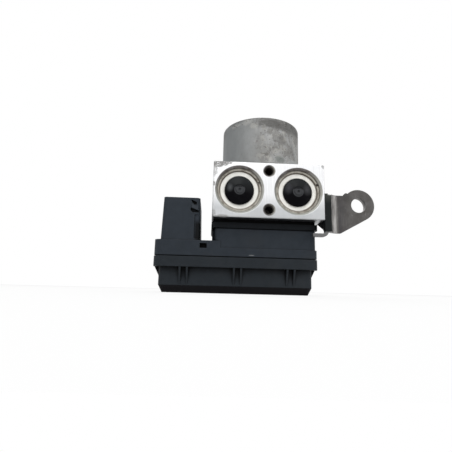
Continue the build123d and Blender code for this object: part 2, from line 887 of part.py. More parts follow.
def shroud_front(z):
    """Front face of the shroud at a height, with its draft."""
    return shroud_middle_y - shroud_depth / 2 + (z - deck_top) * math.tan(math.radians(shroud_draft))


def latch_shape(points, y0, y1):
    """Outline on the shroud's front wall, run from y0 to y1."""
    right = shroud_middle_x + shroud_width / 2
    outline = make_face(Polyline(*[(right - x, shroud_top - z) for x, z in points], close=True))
    return Pos(0, y1, 0) * extrude(Plane.XZ * outline, y1 - y0)


def latch_features():
    """Slanted locking ramp on the shroud's front wall, its window, undercut and channel."""
    front = shroud_front(shroud_top)
    foot = shroud_front(deck_top)
    window = latch_shape(latch_window, foot - 2, front + window_depth)
    undercut = latch_shape(latch_undercut, foot - 2, shroud_front(shroud_top - latch_level) + undercut_depth)
    ramp_top = shroud_top - min(z for x, z in latch_ramp)
    ramp_bottom = shroud_top - max(z for x, z in latch_ramp)
    nose = shroud_front(ramp_bottom) - latch_proud
    wedge = make_face(Polyline((front + 1.0, ramp_top), (front - 0.2, ramp_top), (nose, ramp_bottom + 1.0),
                               (nose, ramp_bottom), (front + 1.0, ramp_bottom), close=True))
    wedge = Pos(shroud_middle_x, 0, 0) * extrude(Plane.YZ * wedge, shroud_width)
    ramp = wedge & latch_shape(latch_ramp, foot - 3, front + 1.0)
    channel_x1 = shroud_middle_x + shroud_width / 2 - channel_side
    channel = box_between(channel_x1 - channel_width, channel_x1, foot - 2, foot + channel_depth,
                          deck_top + 1.6, shroud_top - channel_top)
    return ramp, [window, undercut, channel]


def connector_pin_places():
    x_middle = shroud_middle_x
    y_start = shroud_middle_y - shroud_inner_depth / 2 + 4.0
    places = []
    for column in range(pin_columns):
        for row in range(pin_rows):
            x = x_middle + (column - (pin_columns - 1) / 2) * 2 * pin_pitch
            places.append((x, y_start + row * pin_pitch))
    return places


def connector_blade_places():
    y = shroud_middle_y + shroud_inner_depth / 2 - 5.0
    start = shroud_middle_x - (blade_count - 1) / 2 * blade_pitch
    return [(start + i * blade_pitch, y) for i in range(blade_count)]


def connector_contacts(gap, z0, z1):
    contacts = []
    half = pin_size / 2 + gap
    for x, y in connector_pin_places():
        contacts.append(box_between(x - half, x + half, y - half, y + half, z0, z1))
    half_x = blade_width / 2 + gap
    half_y = blade_thickness / 2 + gap
    for x, y in connector_blade_places():
        contacts.append(box_between(x - half_x, x + half_x, y - half_y, y + half_y, z0, z1))
    return contacts


def connector_pins():
    floor = deck_top + shroud_floor
    return solid_list(connector_contacts(0.0, board_top, floor + pin_height))


def board_rests():
    """Places of the pillars the board is pressed against, with the ceiling each one hangs from."""
    front = ecu_middle_y - board_depth / 2 + rest_radius
    back = ecu_middle_y + board_depth / 2 - rest_radius
    outer = ecu_offset_x - board_width / 2 + rest_radius
    places = []
    for x in (outer, tower_left - 2 * rest_radius):
        for y in (front, back):
            places.append((x, y, deck_top - 1.0))
    right = ecu_offset_x + board_width / 2 - rest_radius
    places.append((right, back, flange_top - 1.0))
    places.append((tower_offset_x, front, floor_bottom + 0.5))
    return places


def ecu_housing():
    flange = ecu_slab(flange_width, flange_depth, flange_corner, cover_height, flange_top)
    deck = ecu_slab(flange_width, flange_depth, flange_corner, cover_height, deck_top)
    deck = deck & left_of(tower_left + tower_corner + 2, deck_top + 1)
    tower = tower_slab(tower_width, tower_depth, tower_corner, cover_height, housing_top)
    lip_depth = tower_depth + 2 * lip_proud
    lip = rounded_slab(lip_width, lip_depth, tower_corner, lip_bottom, housing_top,
                       tower_offset_x + lip_shift, tower_middle_y)
    columns = rods_at(column_places + post_places[1:], column_radius, flange_top - 1, lip_bottom + 0.5)
    lugs = rods_at(column_places, lug_radius, housing_top - lug_height, housing_top)
    latch, latch_cuts = latch_features()
    solid = flange + [deck, tower, lip, connector_shroud(), latch] + columns + lugs

    line = lip_groove
    reach = lip_side + 2
    groove = ring_slab(tower_width + 2 * reach, tower_depth + 2 * reach, 1.0, reach + line,
                       lip_bottom - line, lip_bottom,
                       tower_offset_x, tower_middle_y)
    groove = groove - rods_at(screw_places, column_radius, lip_bottom - 2 * line, lip_bottom + line)
    shadow = ring_slab(flange_width + 2, flange_depth + 2, flange_corner + 1, 1.0 + shadow_line_depth,
                       cover_height - 1, cover_height + shadow_line_height, ecu_offset_x, ecu_middle_y)

    inner_width = flange_width - 2 * housing_wall
    inner_depth = flange_depth - 2 * housing_wall
    inner_corner = flange_corner - housing_wall
    rim_step = cover_height + 2.0
    mouth_width = flange_width - 2 * housing_rim
    mouth_depth = flange_depth - 2 * housing_rim
    mouth = ecu_slab(mouth_width, mouth_depth, 1.5, cover_height - 1, rim_step + 0.1)
    low = ecu_slab(inner_width, inner_depth, inner_corner, rim_step, flange_top - floor_thickness)
    high = ecu_slab(inner_width, inner_depth, inner_corner, rim_step, deck_top - floor_thickness)
    high = high & left_of(tower_left - housing_wall, deck_top + 1)
    room_width = tower_width - 2 * housing_wall
    room_depth = tower_depth - 2 * housing_wall
    room_corner = max(tower_corner - housing_wall, 0.8)
    under = tower_slab(room_width, room_depth, room_corner, rim_step, floor_bottom)
    room = tower_slab(room_width, room_depth, room_corner, floor_top, housing_top + 1)

    pocket_x0 = shroud_middle_x + shroud_width / 2 - 0.3
    pocket_x1 = pocket_x0 + pocket_width
    pocket_back = flange_front + pocket_depth
    pocket_z1 = deck_top - 2.4
    pocket_z0 = pocket_z1 - pocket_height
    wall = housing_wall - 0.6
    pocket = box_between(pocket_x0, pocket_x1, flange_front - 1, pocket_back, pocket_z0, pocket_z1)
    pocket_walls = box_between(pocket_x0 - wall, pocket_x1 + wall, flange_front + 1.0, pocket_back + wall,
                               pocket_z0 - wall, deck_top - 1.0)

    shroud_room = rounded_slab(shroud_inner_width, shroud_inner_depth, 2.0, deck_top + shroud_floor,
                               shroud_top + 1, shroud_middle_x, shroud_middle_y)
    contact_slots = connector_contacts(pin_slot_gap, floor_bottom - 8, deck_top + shroud_floor + 1)
    pin_slots = [coil_pin_slot(x, y) for x, y in valve_places]
    lead_slot = rod_z(lead_radius + pass_gap, floor_bottom - 1, housing_top + 1, tower_offset_x, lead_y)
    screw_holes = rods_at(screw_places, ecu_screw_radius + pass_gap, cover_height - 1, housing_top + 1)
    screw_rooms = rods_at(screw_places, ecu_screw_head_radius + pass_gap, cover_height - 1, floor_bottom)

    solid = solid - [groove, shadow, mouth, low, high, under, room]
    rests = [rod_z(rest_radius, board_top, top, x, y) for x, y, top in board_rests()]
    screw_post_radius = ecu_screw_radius + pass_gap + screw_post_wall
    screw_posts = rods_at(post_places, screw_post_radius, floor_top - 0.5, housing_top)
    cup_rooms = rods_at(valve_places, cup_radius + 2 * seat_gap, floor_top, housing_top + 1)
    solid = solid + [pocket_walls] + rests + screw_posts - cup_rooms
    cuts = [pocket, shroud_room, lead_slot] + latch_cuts + contact_slots + pin_slots
    return solid - (cuts + screw_holes + screw_rooms)


def block_gasket():
    width = lip_width - 2 * gasket_inset
    depth = tower_depth + 2 * lip_proud - 2 * gasket_inset
    ring = ring_slab(width, depth, tower_corner, gasket_width, housing_top, block_bottom,
                     tower_offset_x + lip_shift, tower_middle_y)
    discs = rods_at(screw_places, lug_radius - gasket_lug_inset, housing_top, block_bottom)
    holes = rods_at(screw_places, ecu_screw_radius + pass_gap, housing_top - 1, block_bottom + 1)
    lead_notch = rod_z(lead_radius + pass_gap, housing_top - 1, block_bottom + 1, tower_offset_x, lead_y)
    return ring + discs - (holes + [lead_notch])


def circuit_board():
    board = ecu_slab(board_width, board_depth, 1.5, board_bottom, board_top)
    holes = []
    for side in (-1, 1):
        x = tower_offset_x + side * lead_pin_spacing / 2
        holes.append(rod_z(lead_pin_radius + seat_gap, board_bottom - 1, board_top + 1, x, lead_y))
    return board - holes


def board_components():
    """Processor, two valve drivers and three capacitors, all on the underside of the board."""
    pieces = []
    chip_z = board_bottom - chip_height / 2
    pieces.append(Pos(chip_x, ecu_middle_y, chip_z) * Box(chip_size, chip_size, chip_height))
    for side in (-1, 1):
        driver = Box(driver_size, driver_size, chip_height)
        pieces.append(Pos(driver_x, ecu_middle_y + side * driver_size, chip_z) * driver)
    for i in range(capacitor_count):
        y = ecu_middle_y + (i - (capacitor_count - 1) / 2) * capacitor_pitch
        pieces.append(rod_z(capacitor_radius, board_bottom - capacitor_height, board_bottom, capacitor_x, y))
    return solid_list(pieces)


# ---- Motor ----

def motor_can():
    outer = rod_z(can_radius, block_top, can_top)
    outer = fillet(outer.edges().group_by(Axis.Z)[-1], can_corner)
    boss = rod_z(boss_radius, can_top - can_wall, can_top + boss_height)
    boss = fillet(boss.edges().group_by(Axis.Z)[-1], 1.5)
    inner = rod_z(can_inner, block_top - 1, can_top - can_wall)
    inner = fillet(inner.edges().group_by(Axis.Z)[-1], max(can_corner - can_wall, 0.4))
    pocket = rod_z(rear_journal_radius + running_gap + bush_wall + seat_gap, can_top - can_wall - 1,
                   can_top + boss_height - can_wall)
    ears = []
    holes = []
    for turn in ear_turns:
        x, y = ear_place(turn)
        ear_top = block_top + ear_thickness
        tab = box_between(can_inner + 0.5, ear_distance, -ear_radius, ear_radius, block_top, ear_top)
        ears.append(Rot(0, 0, turn) * tab)
        ears.append(rod_z(ear_radius, block_top, ear_top, x, y))
        holes.append(rod_z(motor_screw_radius + pass_gap, block_top - 1, ear_top + 1, x, y))
    return outer + [boss] + ears - ([inner, pocket] + holes)


def motor_screws():
    screws = []
    for turn in ear_turns:
        x, y = ear_place(turn)
        seat = block_top + ear_thickness
        shank = rod_z(motor_screw_radius, block_top - motor_screw_bite, seat, x, y)
        head = rod_z(motor_screw_head_radius, seat, seat + motor_screw_head, x, y)
        head = fillet(head.edges().group_by(Axis.Z)[-1], 1.2)
        socket = extrude(RegularPolygon(motor_screw_radius, 6), socket_depth + 1)
        screws.append(shank + head - Pos(x, y, seat + motor_screw_head - socket_depth) * socket)
    return solid_list(screws)


def motor_seal():
    inner = can_radius - can_wall / 2 - motor_seal_width / 2
    outer = inner + motor_seal_width
    z0 = block_top - motor_seal_height
    return turned([(inner, z0), (outer, z0), (outer, block_top), (inner, block_top)])


def motor_magnets():
    ring = rod_z(can_inner - seat_gap, magnet_bottom, magnet_bottom + magnet_length)
    ring = ring - rod_z(magnet_inner, magnet_bottom - 1, magnet_bottom + magnet_length + 1)
    reach_x = 2 * can_radius * math.cos(math.radians(magnet_angle / 2))
    reach_y = 2 * can_radius * math.sin(math.radians(magnet_angle / 2))
    wedge = make_face(Polyline((0, 0), (reach_x, -reach_y), (reach_x, reach_y), close=True))
    wedge = Pos(0, 0, magnet_bottom - 1) * extrude(wedge, magnet_length + 2)
    magnets = []
    for i in range(magnet_count):
        magnets.append(ring & Rot(0, 0, 45 + i * 360 / magnet_count) * wedge)
    return solid_list(magnets)


def armature_slots(radius_in, radius_out, width, z0, z1):
    slots = []
    for i in range(core_slots):
        slot = box_between(radius_in, radius_out, -width / 2, width / 2, z0, z1)
        slots.append(Rot(0, 0, i * 360 / core_slots) * slot)
    return slots


slot_out = core_radius - 1.6
slot_in = slot_out - slot_depth


def armature_core():
    core = rod_z(core_radius, core_bottom, core_top)
    slots = armature_slots(slot_in, slot_out, slot_width, core_bottom - 1, core_top + 1)
    openings = armature_slots(slot_out - 0.5, core_radius + 1, tooth_opening, core_bottom - 1, core_top + 1)
    return core - slots - openings - rod_z(shaft_radius + seat_gap, core_bottom - 1, core_top + 1)


def armature_windings():
    rings = []
    outer = slot_out - 0.2
    for z0, z1 in ((core_bottom - winding_height, core_bottom), (core_top, core_top + winding_height)):
        ring = rod_z(outer, z0, z1) - rod_z(winding_inner_radius, z0 - 1, z1 + 1)
        rings.append(ring)
    bars = armature_slots(slot_in + 0.2, outer, slot_width - 0.4, core_bottom - 1, core_top + 1)
    return rings[0] + [rings[1]] + bars


def commutator():
    top = commutator_bottom + commutator_length
    body = rod_z(commutator_radius, commutator_bottom, top)
    body = body - rod_z(shaft_radius + seat_gap, commutator_bottom - 1, top + 1)
    cuts = []
    for i in range(commutator_bars):
        cut = box_between(commutator_radius - 1.2, commutator_radius + 1, -bar_gap / 2, bar_gap / 2,
                          commutator_bottom - 1, top + 1)
        cuts.append(Rot(0, 0, (i + 0.5) * 360 / commutator_bars) * cut)
    return body - cuts


def motor_shaft():
    """One turned shaft: foot journal, eccentric, bearing journal, armature seat and rear journal."""
    eccentric_bottom = pump_axis - eccentric_length / 2
    eccentric_top = pump_axis + eccentric_length / 2
    collar_top = bearing_bottom
    seat_top = block_top
    rear_top = can_top + boss_height - can_wall - end_gap
    rear_bottom = can_top - can_wall - 0.8
    shaft = turned([
        (0, foot_bottom + end_gap), (foot_radius, foot_bottom + end_gap), (foot_radius, eccentric_bottom),
        (0, eccentric_bottom),
    ])
    upper = turned([
        (0, eccentric_top), (shaft_collar_radius, eccentric_top), (shaft_collar_radius, collar_top),
        (journal_radius, collar_top), (journal_radius, seat_top), (shaft_radius, seat_top),
        (shaft_radius, rear_bottom), (rear_journal_radius, rear_bottom), (rear_journal_radius, rear_top),
        (0, rear_top),
    ])
    eccentric = rod_z(eccentric_radius, eccentric_bottom, eccentric_top, 0, eccentric_offset)
    return shaft + upper + eccentric


def eccentric_ring():
    z0 = pump_axis - ring_length / 2
    z1 = z0 + ring_length
    ring = rod_z(ring_radius, z0, z1, 0, eccentric_offset)
    return ring - rod_z(eccentric_radius + running_gap, z0 - 1, z1 + 1, 0, eccentric_offset)


def ball_track():
    middle = (bearing_bottom + block_top) / 2
    return Pos(0, 0, middle) * Torus(bearing_circle, ball_groove)


def bearing_outer_ring():
    ring = rod_z(bearing_radius - seat_gap, bearing_bottom, block_top)
    ring = ring - rod_z(bearing_circle + bearing_land, bearing_bottom - 1, block_top + 1)
    return ring - ball_track()


def bearing_inner_ring():
    ring = rod_z(bearing_circle - bearing_land, bearing_bottom, block_top)
    ring = ring - rod_z(journal_radius + seat_gap, bearing_bottom - 1, block_top + 1)
    return ring - ball_track()


def bearing_balls():
    middle = (bearing_bottom + block_top) / 2
    balls = []
    for i in range(ball_count):
        balls.append(Rot(0, 0, i * 360 / ball_count) * Pos(bearing_circle, 0, middle) * Sphere(ball_radius))
    return solid_list(balls)


def foot_bush():
    inner = foot_radius + running_gap
    outer = inner + bush_wall - seat_gap
    return rod_z(outer, foot_bottom, chamber_floor) - rod_z(inner, foot_bottom - 1, chamber_floor + 1)


def rear_bush():
    inner = rear_journal_radius + running_gap
    outer = inner + bush_wall
    top = can_top + boss_height - can_wall
    bottom = top - rear_bush_length
    return rod_z(outer, bottom, top) - rod_z(inner, bottom - 1, top + 1)


brush_inner = commutator_radius + end_gap
brush_outer = brush_inner + brush_length
brush_box_end = brush_outer + brush_spring_length
brush_bottom = plate_top + 0.1


def brush_plate():
    """Plastic plate in the can's mouth, with an open-fronted box for each brush."""
    plate = rod_z(can_inner - seat_gap, plate_bottom, plate_top)
    plate = plate - rod_z(commutator_radius + 1.5, plate_bottom - 1, plate_top + 1)
    plate = plate - rod_z(lead_radius + seat_gap, plate_bottom - 1, plate_top + 1, tower_offset_x, lead_y)
    walls = []
    for side in (-1, 1):
        half = brush_width / 2 + 0.1
        x0 = side * (brush_inner + 2.5)
        x1 = side * (brush_box_end + brush_box_wall)
        top = brush_bottom + brush_height
        for y in (-1, 1):
            walls.append(box_between(x0, x1, y * half, y * (half + brush_box_wall), plate_top - 0.5, top))
        walls.append(box_between(side * brush_box_end, x1, -half - 0.1, half + 0.1, plate_top - 0.5, top))
    return plate + walls


def brushes():
    pieces = []
    for side in (-1, 1):
        half = brush_width / 2
        pieces.append(box_between(side * brush_inner, side * brush_outer, -half, half, brush_bottom,
                                  brush_bottom + brush_height))
    return solid_list(pieces)


def brush_springs():
    springs = []
    for turn in (0, 180):
        spring = coil_spring(brush_spring_radius, brush_spring_wire, brush_spring_length, brush_spring_turns)
        placed = Pos(brush_outer, 0, brush_bottom + brush_height / 2) * along_x(spring)
        springs.append(Rot(0, 0, turn) * placed)
    return solid_list(springs)


def motor_lead():
    """Insulated stem with two pins, from the board up to the brush plate."""
    stem = rod_z(lead_radius, board_top, plate_top, tower_offset_x, lead_y)
    pins = []
    for side in (-1, 1):
        x = tower_offset_x + side * lead_pin_spacing / 2
        pins.append(rod_z(lead_pin_radius, board_bottom - 1.5, plate_top + 2.5, x, lead_y))
    return stem + pins


# ---- Fasteners and bracket ----

def ecu_screws():
    screws = []
    for x, y in screw_places:
        head_top = floor_bottom
        shank = rod_z(ecu_screw_radius, head_top - 0.5, block_bottom + ecu_screw_bite, x, y)
        head = rod_z(ecu_screw_head_radius, head_top - ecu_screw_head, head_top, x, y)
        socket = extrude(RegularPolygon(ecu_screw_radius, 6), socket_depth)
        screws.append(shank + head - Pos(x, y, head_top - ecu_screw_head - 0.4) * socket)
    return solid_list(screws)


def bracket_leg():
    """Flat leg on the block's side. Its lower edge falls towards the front, where the hook is."""
    rear_y = leg_front + bracket_length
    slope_y = block_front + bracket_slope_end
    hook_y = leg_front + hook_width
    rear_z = leg_top - bracket_rear_height
    outline = make_face(Polyline(
        (leg_front, leg_bottom), (leg_front, leg_top), (rear_y, leg_top), (rear_y, rear_z),
        (slope_y, rear_z), (hook_y + 2.2, leg_bottom + 2.2), (hook_y, leg_bottom), close=True))
    leg = Pos(leg_left, 0, 0) * extrude(Plane.YZ * outline, sheet)
    rear_edges = leg.edges().filter_by(Axis.X).sort_by(Axis.Y)[-2:]
    return fillet(rear_edges, 4.0)


def bracket_hook():
    """Tab that turns under the block from the foot of the leg."""
    outer = hook_bend + sheet
    bend_x = leg_right - outer
    bend_z = leg_bottom - hook_drop + outer
    end_x = leg_left - hook_reach
    path = Polyline((leg_left, leg_bottom + 0.5), (leg_right, leg_bottom + 0.5), (leg_right, bend_z))
    curve = RadiusArc((leg_right, bend_z), (bend_x, bend_z - outer), outer)
    under = Polyline((bend_x, bend_z - outer), (end_x, bend_z - outer), (end_x, bend_z - hook_bend),
                     (bend_x, bend_z - hook_bend))
    inner = RadiusArc((bend_x, bend_z - hook_bend), (leg_left, bend_z), -hook_bend)
    close = Line((leg_left, bend_z), (leg_left, leg_bottom + 0.5))
    face = make_face([path, curve, under, inner, close])
    return Pos(0, leg_front + hook_width, 0) * extrude(Plane.XZ * face, hook_width)


def bracket_arm():
    """Arm welded to the leg's front edge: a rounded bend, then a flat plate with the eye."""
    arm_top = leg_top + arm_rise
    bend_x = leg_right + sheet + arm_bend
    outer = arm_bend + sheet
    pipe = extrude(Circle(outer) - Circle(arm_bend), arm_top - leg_bottom)
    quarter = Pos(bend_x, leg_front, leg_bottom) * pipe
    quarter = quarter & box_between(bend_x - outer - 1, bend_x, leg_front, leg_front + outer + 1,
                                    leg_bottom - 1, arm_top + 1)
    weld = box_between(leg_right - 0.2, leg_right + 0.8, leg_front, leg_front + 3.5, leg_bottom, leg_top)
    eye_cx = block_right + eye_x
    eye_cz = block_middle - eye_drop
    top_x = eye_cx - math.sqrt(eye_radius ** 2 - (arm_top - eye_cz) ** 2)
    start = (bend_x + arm_straight, leg_bottom)
    away = math.hypot(start[0] - eye_cx, start[1] - eye_cz)
    heading = math.atan2(eye_cz - start[1], eye_cx - start[0])
    spread = math.asin(eye_radius / away)
    reach = math.sqrt(away ** 2 - eye_radius ** 2)
    tangent = (start[0] + reach * math.cos(heading - spread), start[1] + reach * math.sin(heading - spread))
    web = make_face(Polyline((bend_x, leg_bottom), start, tangent, (eye_cx, eye_cz), (top_x, arm_top),
                             (bend_x, arm_top), close=True))
    nub = Pos(block_right + nub_x, arm_top + nub_rise) * Circle(nub_radius)
    flat = web + Pos(eye_cx, eye_cz) * Circle(eye_radius) + nub
    flat = flat - Pos(eye_cx, eye_cz) * Circle(eye_hole_radius)
    plate = Pos(0, plate_front_y + sheet, 0) * extrude(Plane.XZ * flat, sheet)
    corner = make_face(Polyline(
        (leg_front - 1, arm_top + 1), (leg_front - 1, arm_top - arm_corner_drop),
        (leg_front, arm_top - arm_corner_drop), (leg_front + arm_corner_run, arm_top),
        (leg_front + arm_corner_run, arm_top + 1), close=True))
    corner = Pos(leg_right - 1, 0, 0) * extrude(Plane.YZ * corner, arm_bend + 1)
    return quarter + weld + plate - corner


def mounting_bracket():
    bracket = bracket_leg() + bracket_hook() + bracket_arm()
    for y, z in bracket_bolt_places():
        bracket = bracket - rod_x(bracket_bolt_radius + pass_gap, leg_left - 1, leg_right + 1, y, z)
    return bracket


def bracket_collar():
    y0 = plate_front_y + sheet
    y1 = y0 + collar_length
    x = block_right + eye_x
    z = block_middle - eye_drop
    return rod_y(collar_radius, y0, y1, x, z) - rod_y(collar_bore_radius, y0 - 1, y1 + 1, x, z)


def bracket_bolts():
    bolts = []
    for y, z in bracket_bolt_places():
        shank = rod_x(bracket_bolt_radius, leg_left - bracket_bolt_bite, leg_right + 0.5, y, z)
        head = along_x(extrude(RegularPolygon(bolt_head_size / math.sqrt(3), 6), bolt_head_height))
        flange = rod_x(bolt_head_size / 2 + 1.2, leg_right, leg_right + 1.2, y, z)
        bolts.append(shank + Pos(leg_right, y, z) * head + flange)
    return solid_list(bolts)


# ---- Every piece, one file each ----

nodes = {
    "hydraulic_block": hydraulic_block(),
    "reservoir_washers": solid_list([facing_front(reservoir_washer(), x) for x in reservoir_xs]),
    "reservoir_caps": solid_list([facing_front(reservoir_cap(), x) for x in reservoir_xs]),
    "snap_rings": solid_list([facing_front(snap_ring(), x) for x in reservoir_xs]),
    "pump_plugs": solid_list([pump_side(pump_plug(side), side) for side in (-1, 1)]),
    "pump_plug_seals": solid_list([pump_side(pump_plug_seal(), side) for side in (-1, 1)]),
    "pump_guide_seals": solid_list([pump_side(pump_guide_seal(), side) for side in (-1, 1)]),
    "valve_bodies": solid_list([valve_body(x, y) for x, y in valve_places]),
    "valve_domes": solid_list([valve_dome(x, y) for x, y in valve_places]),
    "valve_springs": valve_springs(),
    "solenoid_coils": solid_list([coil(x, y) for x, y in valve_places]),
    "coil_cups": solid_list([coil_cup(x, y) for x, y in valve_places]),
    "coil_pins": solid_list([pin for x, y in valve_places for pin in coil_pin_pair(x, y)]),
    "block_gasket": block_gasket(),
    "ecu_housing": ecu_housing(),
    "ecu_cover": ecu_cover(),
    "cover_seal": cover_seal(),
    "circuit_board": circuit_board(),
    "board_components": board_components(),
    "connector_pins": connector_pins(),
    "ecu_screws": ecu_screws(),
    "motor_lead": motor_lead(),
    "motor_can": motor_can(),
    "motor_screws": motor_screws(),
    "motor_seal": motor_seal(),
    "motor_magnets": motor_magnets(),
    "brush_plate": brush_plate(),
    "brushes": brushes(),
    "brush_springs": brush_springs(),
    "bearing_outer_ring": bearing_outer_ring(),
    "foot_bush": foot_bush(),
    "rear_bush": rear_bush(),
    "mounting_bracket": mounting_bracket(),
    "bracket_collar": bracket_collar(),
    "bracket_bolts": bracket_bolts(),
    "motor_shaft": motor_shaft(),
    "armature_core": armature_core(),
    "armature_windings": armature_windings(),
    "commutator": commutator(),
    "bearing_inner_ring": bearing_inner_ring(),
    "bearing_balls": bearing_balls(),
    "eccentric_ring": eccentric_ring(),
}

for name, x in zip(("left", "right"), reservoir_xs):
    nodes["reservoir_piston_" + name] = facing_front(reservoir_piston(), x)
    nodes["reservoir_seal_" + name] = facing_front(reservoir_piston_seal(), x)
    nodes["reservoir_spring_" + name] = facing_front(reservoir_spring(), x)

for name, side in (("left", -1), ("right", 1)):
    nodes["pump_piston_" + name] = pump_side(pump_piston(), side)
    nodes["pump_spring_" + name] = pump_side(pump_spring(), side)

for row, (kind, lift) in enumerate((("inlet", 0.0), ("outlet", plunger_stroke))):
    for column in range(valve_columns):
        x, y = valve_xs[column], valve_ys[row]
        nodes[kind + "_plunger_" + str(column + 1)] = valve_plunger(x, y, lift)

os.makedirs("parts", exist_ok=True)
for name, shape in nodes.items():
    export_step(shape, "parts/" + name + ".step")
print(len(nodes), "nodes written")
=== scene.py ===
import math

import bmesh
import bpy
from mathutils import Matrix, Vector


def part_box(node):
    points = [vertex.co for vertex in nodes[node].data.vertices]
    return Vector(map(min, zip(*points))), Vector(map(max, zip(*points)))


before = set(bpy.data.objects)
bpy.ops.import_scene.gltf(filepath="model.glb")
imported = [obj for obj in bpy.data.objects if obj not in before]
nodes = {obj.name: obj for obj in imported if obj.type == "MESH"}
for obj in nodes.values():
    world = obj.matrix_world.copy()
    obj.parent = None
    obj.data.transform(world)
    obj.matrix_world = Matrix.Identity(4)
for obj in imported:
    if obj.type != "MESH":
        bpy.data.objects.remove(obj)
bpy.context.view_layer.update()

# Places that several finishes are measured from
blockLow, blockHigh = (Vector(corner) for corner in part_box("hydraulic_block"))
blockMiddle = (blockLow + blockHigh) / 2
blockHalf = (blockHigh - blockLow) / 2
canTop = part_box("motor_can")[1][2]

# Camera first: place in metres, angles in radians, lens and sensor in millimetres
cameraSettings = {
    "place": (-0.04483, -0.31199, 0.0030),
    "yaw": 0.0459,
    "pitch": 0.1798,
    "roll": 0.0257,
    "lens": 28.02,
    "sensor": 36,
    "nearest": 0.01,
    "farthest": 20,
}


def placeCamera(settings):
    yaw, pitch, roll = settings["yaw"], settings["pitch"], settings["roll"]
    right = Vector((math.cos(yaw), -math.sin(yaw), 0))
    ahead = Vector((math.sin(yaw), math.cos(yaw), 0))
    sky = Vector((0, 0, 1))
    look = ahead * math.cos(pitch) + sky * math.sin(pitch)
    top = sky * math.cos(pitch) - ahead * math.sin(pitch)
    side = right * math.cos(roll) + top * math.sin(roll)
    top = top * math.cos(roll) - right * math.sin(roll)
    turn = Matrix((side, top, -look)).transposed().to_4x4()
    data = bpy.data.cameras.new("camera")
    data.lens = settings["lens"]
    data.sensor_width = settings["sensor"]
    data.clip_start = settings["nearest"]
    data.clip_end = settings["farthest"]
    camera = bpy.data.objects.new("camera", data)
    camera.matrix_world = Matrix.Translation(settings["place"]) @ turn
    bpy.context.scene.collection.objects.link(camera)
    bpy.context.scene.camera = camera


placeCamera(cameraSettings)
print("camera placed")


# Small helpers for shader trees
def addNode(tree, kind, inputs=None, **settings):
    node = tree.nodes.new(kind)
    for name, value in settings.items():
        setattr(node, name, value)
    for name, value in (inputs or {}).items():
        if isinstance(value, bpy.types.NodeSocket):
            tree.links.new(value, node.inputs[name])
        else:
            node.inputs[name].default_value = value
    return node


def doMath(tree, operation, first, second=0.5, clamp=False):
    pairs = {0: first, 1: second}
    return addNode(tree, "ShaderNodeMath", pairs, operation=operation, use_clamp=clamp).outputs[0]


def doVectorMath(tree, operation, *values):
    return addNode(tree, "ShaderNodeVectorMath", dict(enumerate(values)), operation=operation).outputs


def multiply(tree, first, *others):
    for other in others:
        first = doMath(tree, "MULTIPLY", first, other)
    return first


def mapRange(tree, value, low, high, toLow=0.0, toHigh=1.0):
    pairs = {"Value": value, "From Min": low, "From Max": high, "To Min": toLow, "To Max": toHigh}
    return addNode(tree, "ShaderNodeMapRange", pairs, clamp=True).outputs[0]


def mixColours(tree, factor, first, second):
    node = addNode(tree, "ShaderNodeMix", data_type="RGBA", clamp_factor=True)
    for index, value in ((0, factor), (6, first), (7, second)):  # the node's factor and its two colours
        if isinstance(value, bpy.types.NodeSocket):
            tree.links.new(value, node.inputs[index])
        elif index == 0:
            node.inputs[index].default_value = value
        else:
            node.inputs[index].default_value = (*value, 1)
    return node.outputs[2]


def objectPlace(tree):
    return tree.nodes.new("ShaderNodeTexCoord").outputs["Object"]


def splitPlace(tree):
    return addNode(tree, "ShaderNodeSeparateXYZ", {0: objectPlace(tree)}).outputs


def stretchedPlace(tree, stretch=(1, 1, 1), shift=(0, 0, 0)):
    pairs = {"Vector": objectPlace(tree), "Scale": stretch, "Location": shift}
    return addNode(tree, "ShaderNodeMapping", pairs).outputs[0]


def noise(tree, vector, scale, detail=4.0, rough=0.55, distortion=0.0):
    return addNode(tree, "ShaderNodeTexNoise", {
        "Vector": vector, "Scale": scale, "Detail": detail, "Roughness": rough,
        "Distortion": distortion}).outputs["Fac"]


def newGroup(name, inputs, outputs):
    group = bpy.data.node_groups.new(name, "ShaderNodeTree")
    for label, kind, value in inputs:
        socket = group.interface.new_socket(label, in_out="INPUT", socket_type=kind)
        socket.default_value = value
    for label, kind in outputs:
        group.interface.new_socket(label, in_out="OUTPUT", socket_type=kind)
    start = group.nodes.new("NodeGroupInput")
    end = group.nodes.new("NodeGroupOutput")
    return group, start.outputs, end.inputs


def useGroup(tree, group, values):
    return addNode(tree, "ShaderNodeGroup", values, node_tree=group).outputs


# Fine grain and broad swell of a moulded, cast or drawn surface
def makeGrainGroup():
    group, given, result = newGroup("surfaceGrain", [
        ("Fine Scale", "NodeSocketFloat", 3000.0), ("Broad Scale", "NodeSocketFloat", 200.0),
        ("Broad Share", "NodeSocketFloat", 0.4), ("Stretch", "NodeSocketVector", (1, 1, 1)),
    ], [("Height", "NodeSocketFloat"), ("Variation", "NodeSocketFloat")])
    place = stretchedPlace(group, given["Stretch"])
    fine = noise(group, place, given["Fine Scale"], detail=2.0)
    broad = noise(group, place, given["Broad Scale"], detail=5.0, rough=0.6)
    swell = multiply(group, broad, given["Broad Share"])
    pits = multiply(group, fine, doMath(group, "SUBTRACT", 1.0, given["Broad Share"]))
    group.links.new(doMath(group, "ADD", swell, pits), result["Height"])
    group.links.new(broad, result["Variation"])
    return group


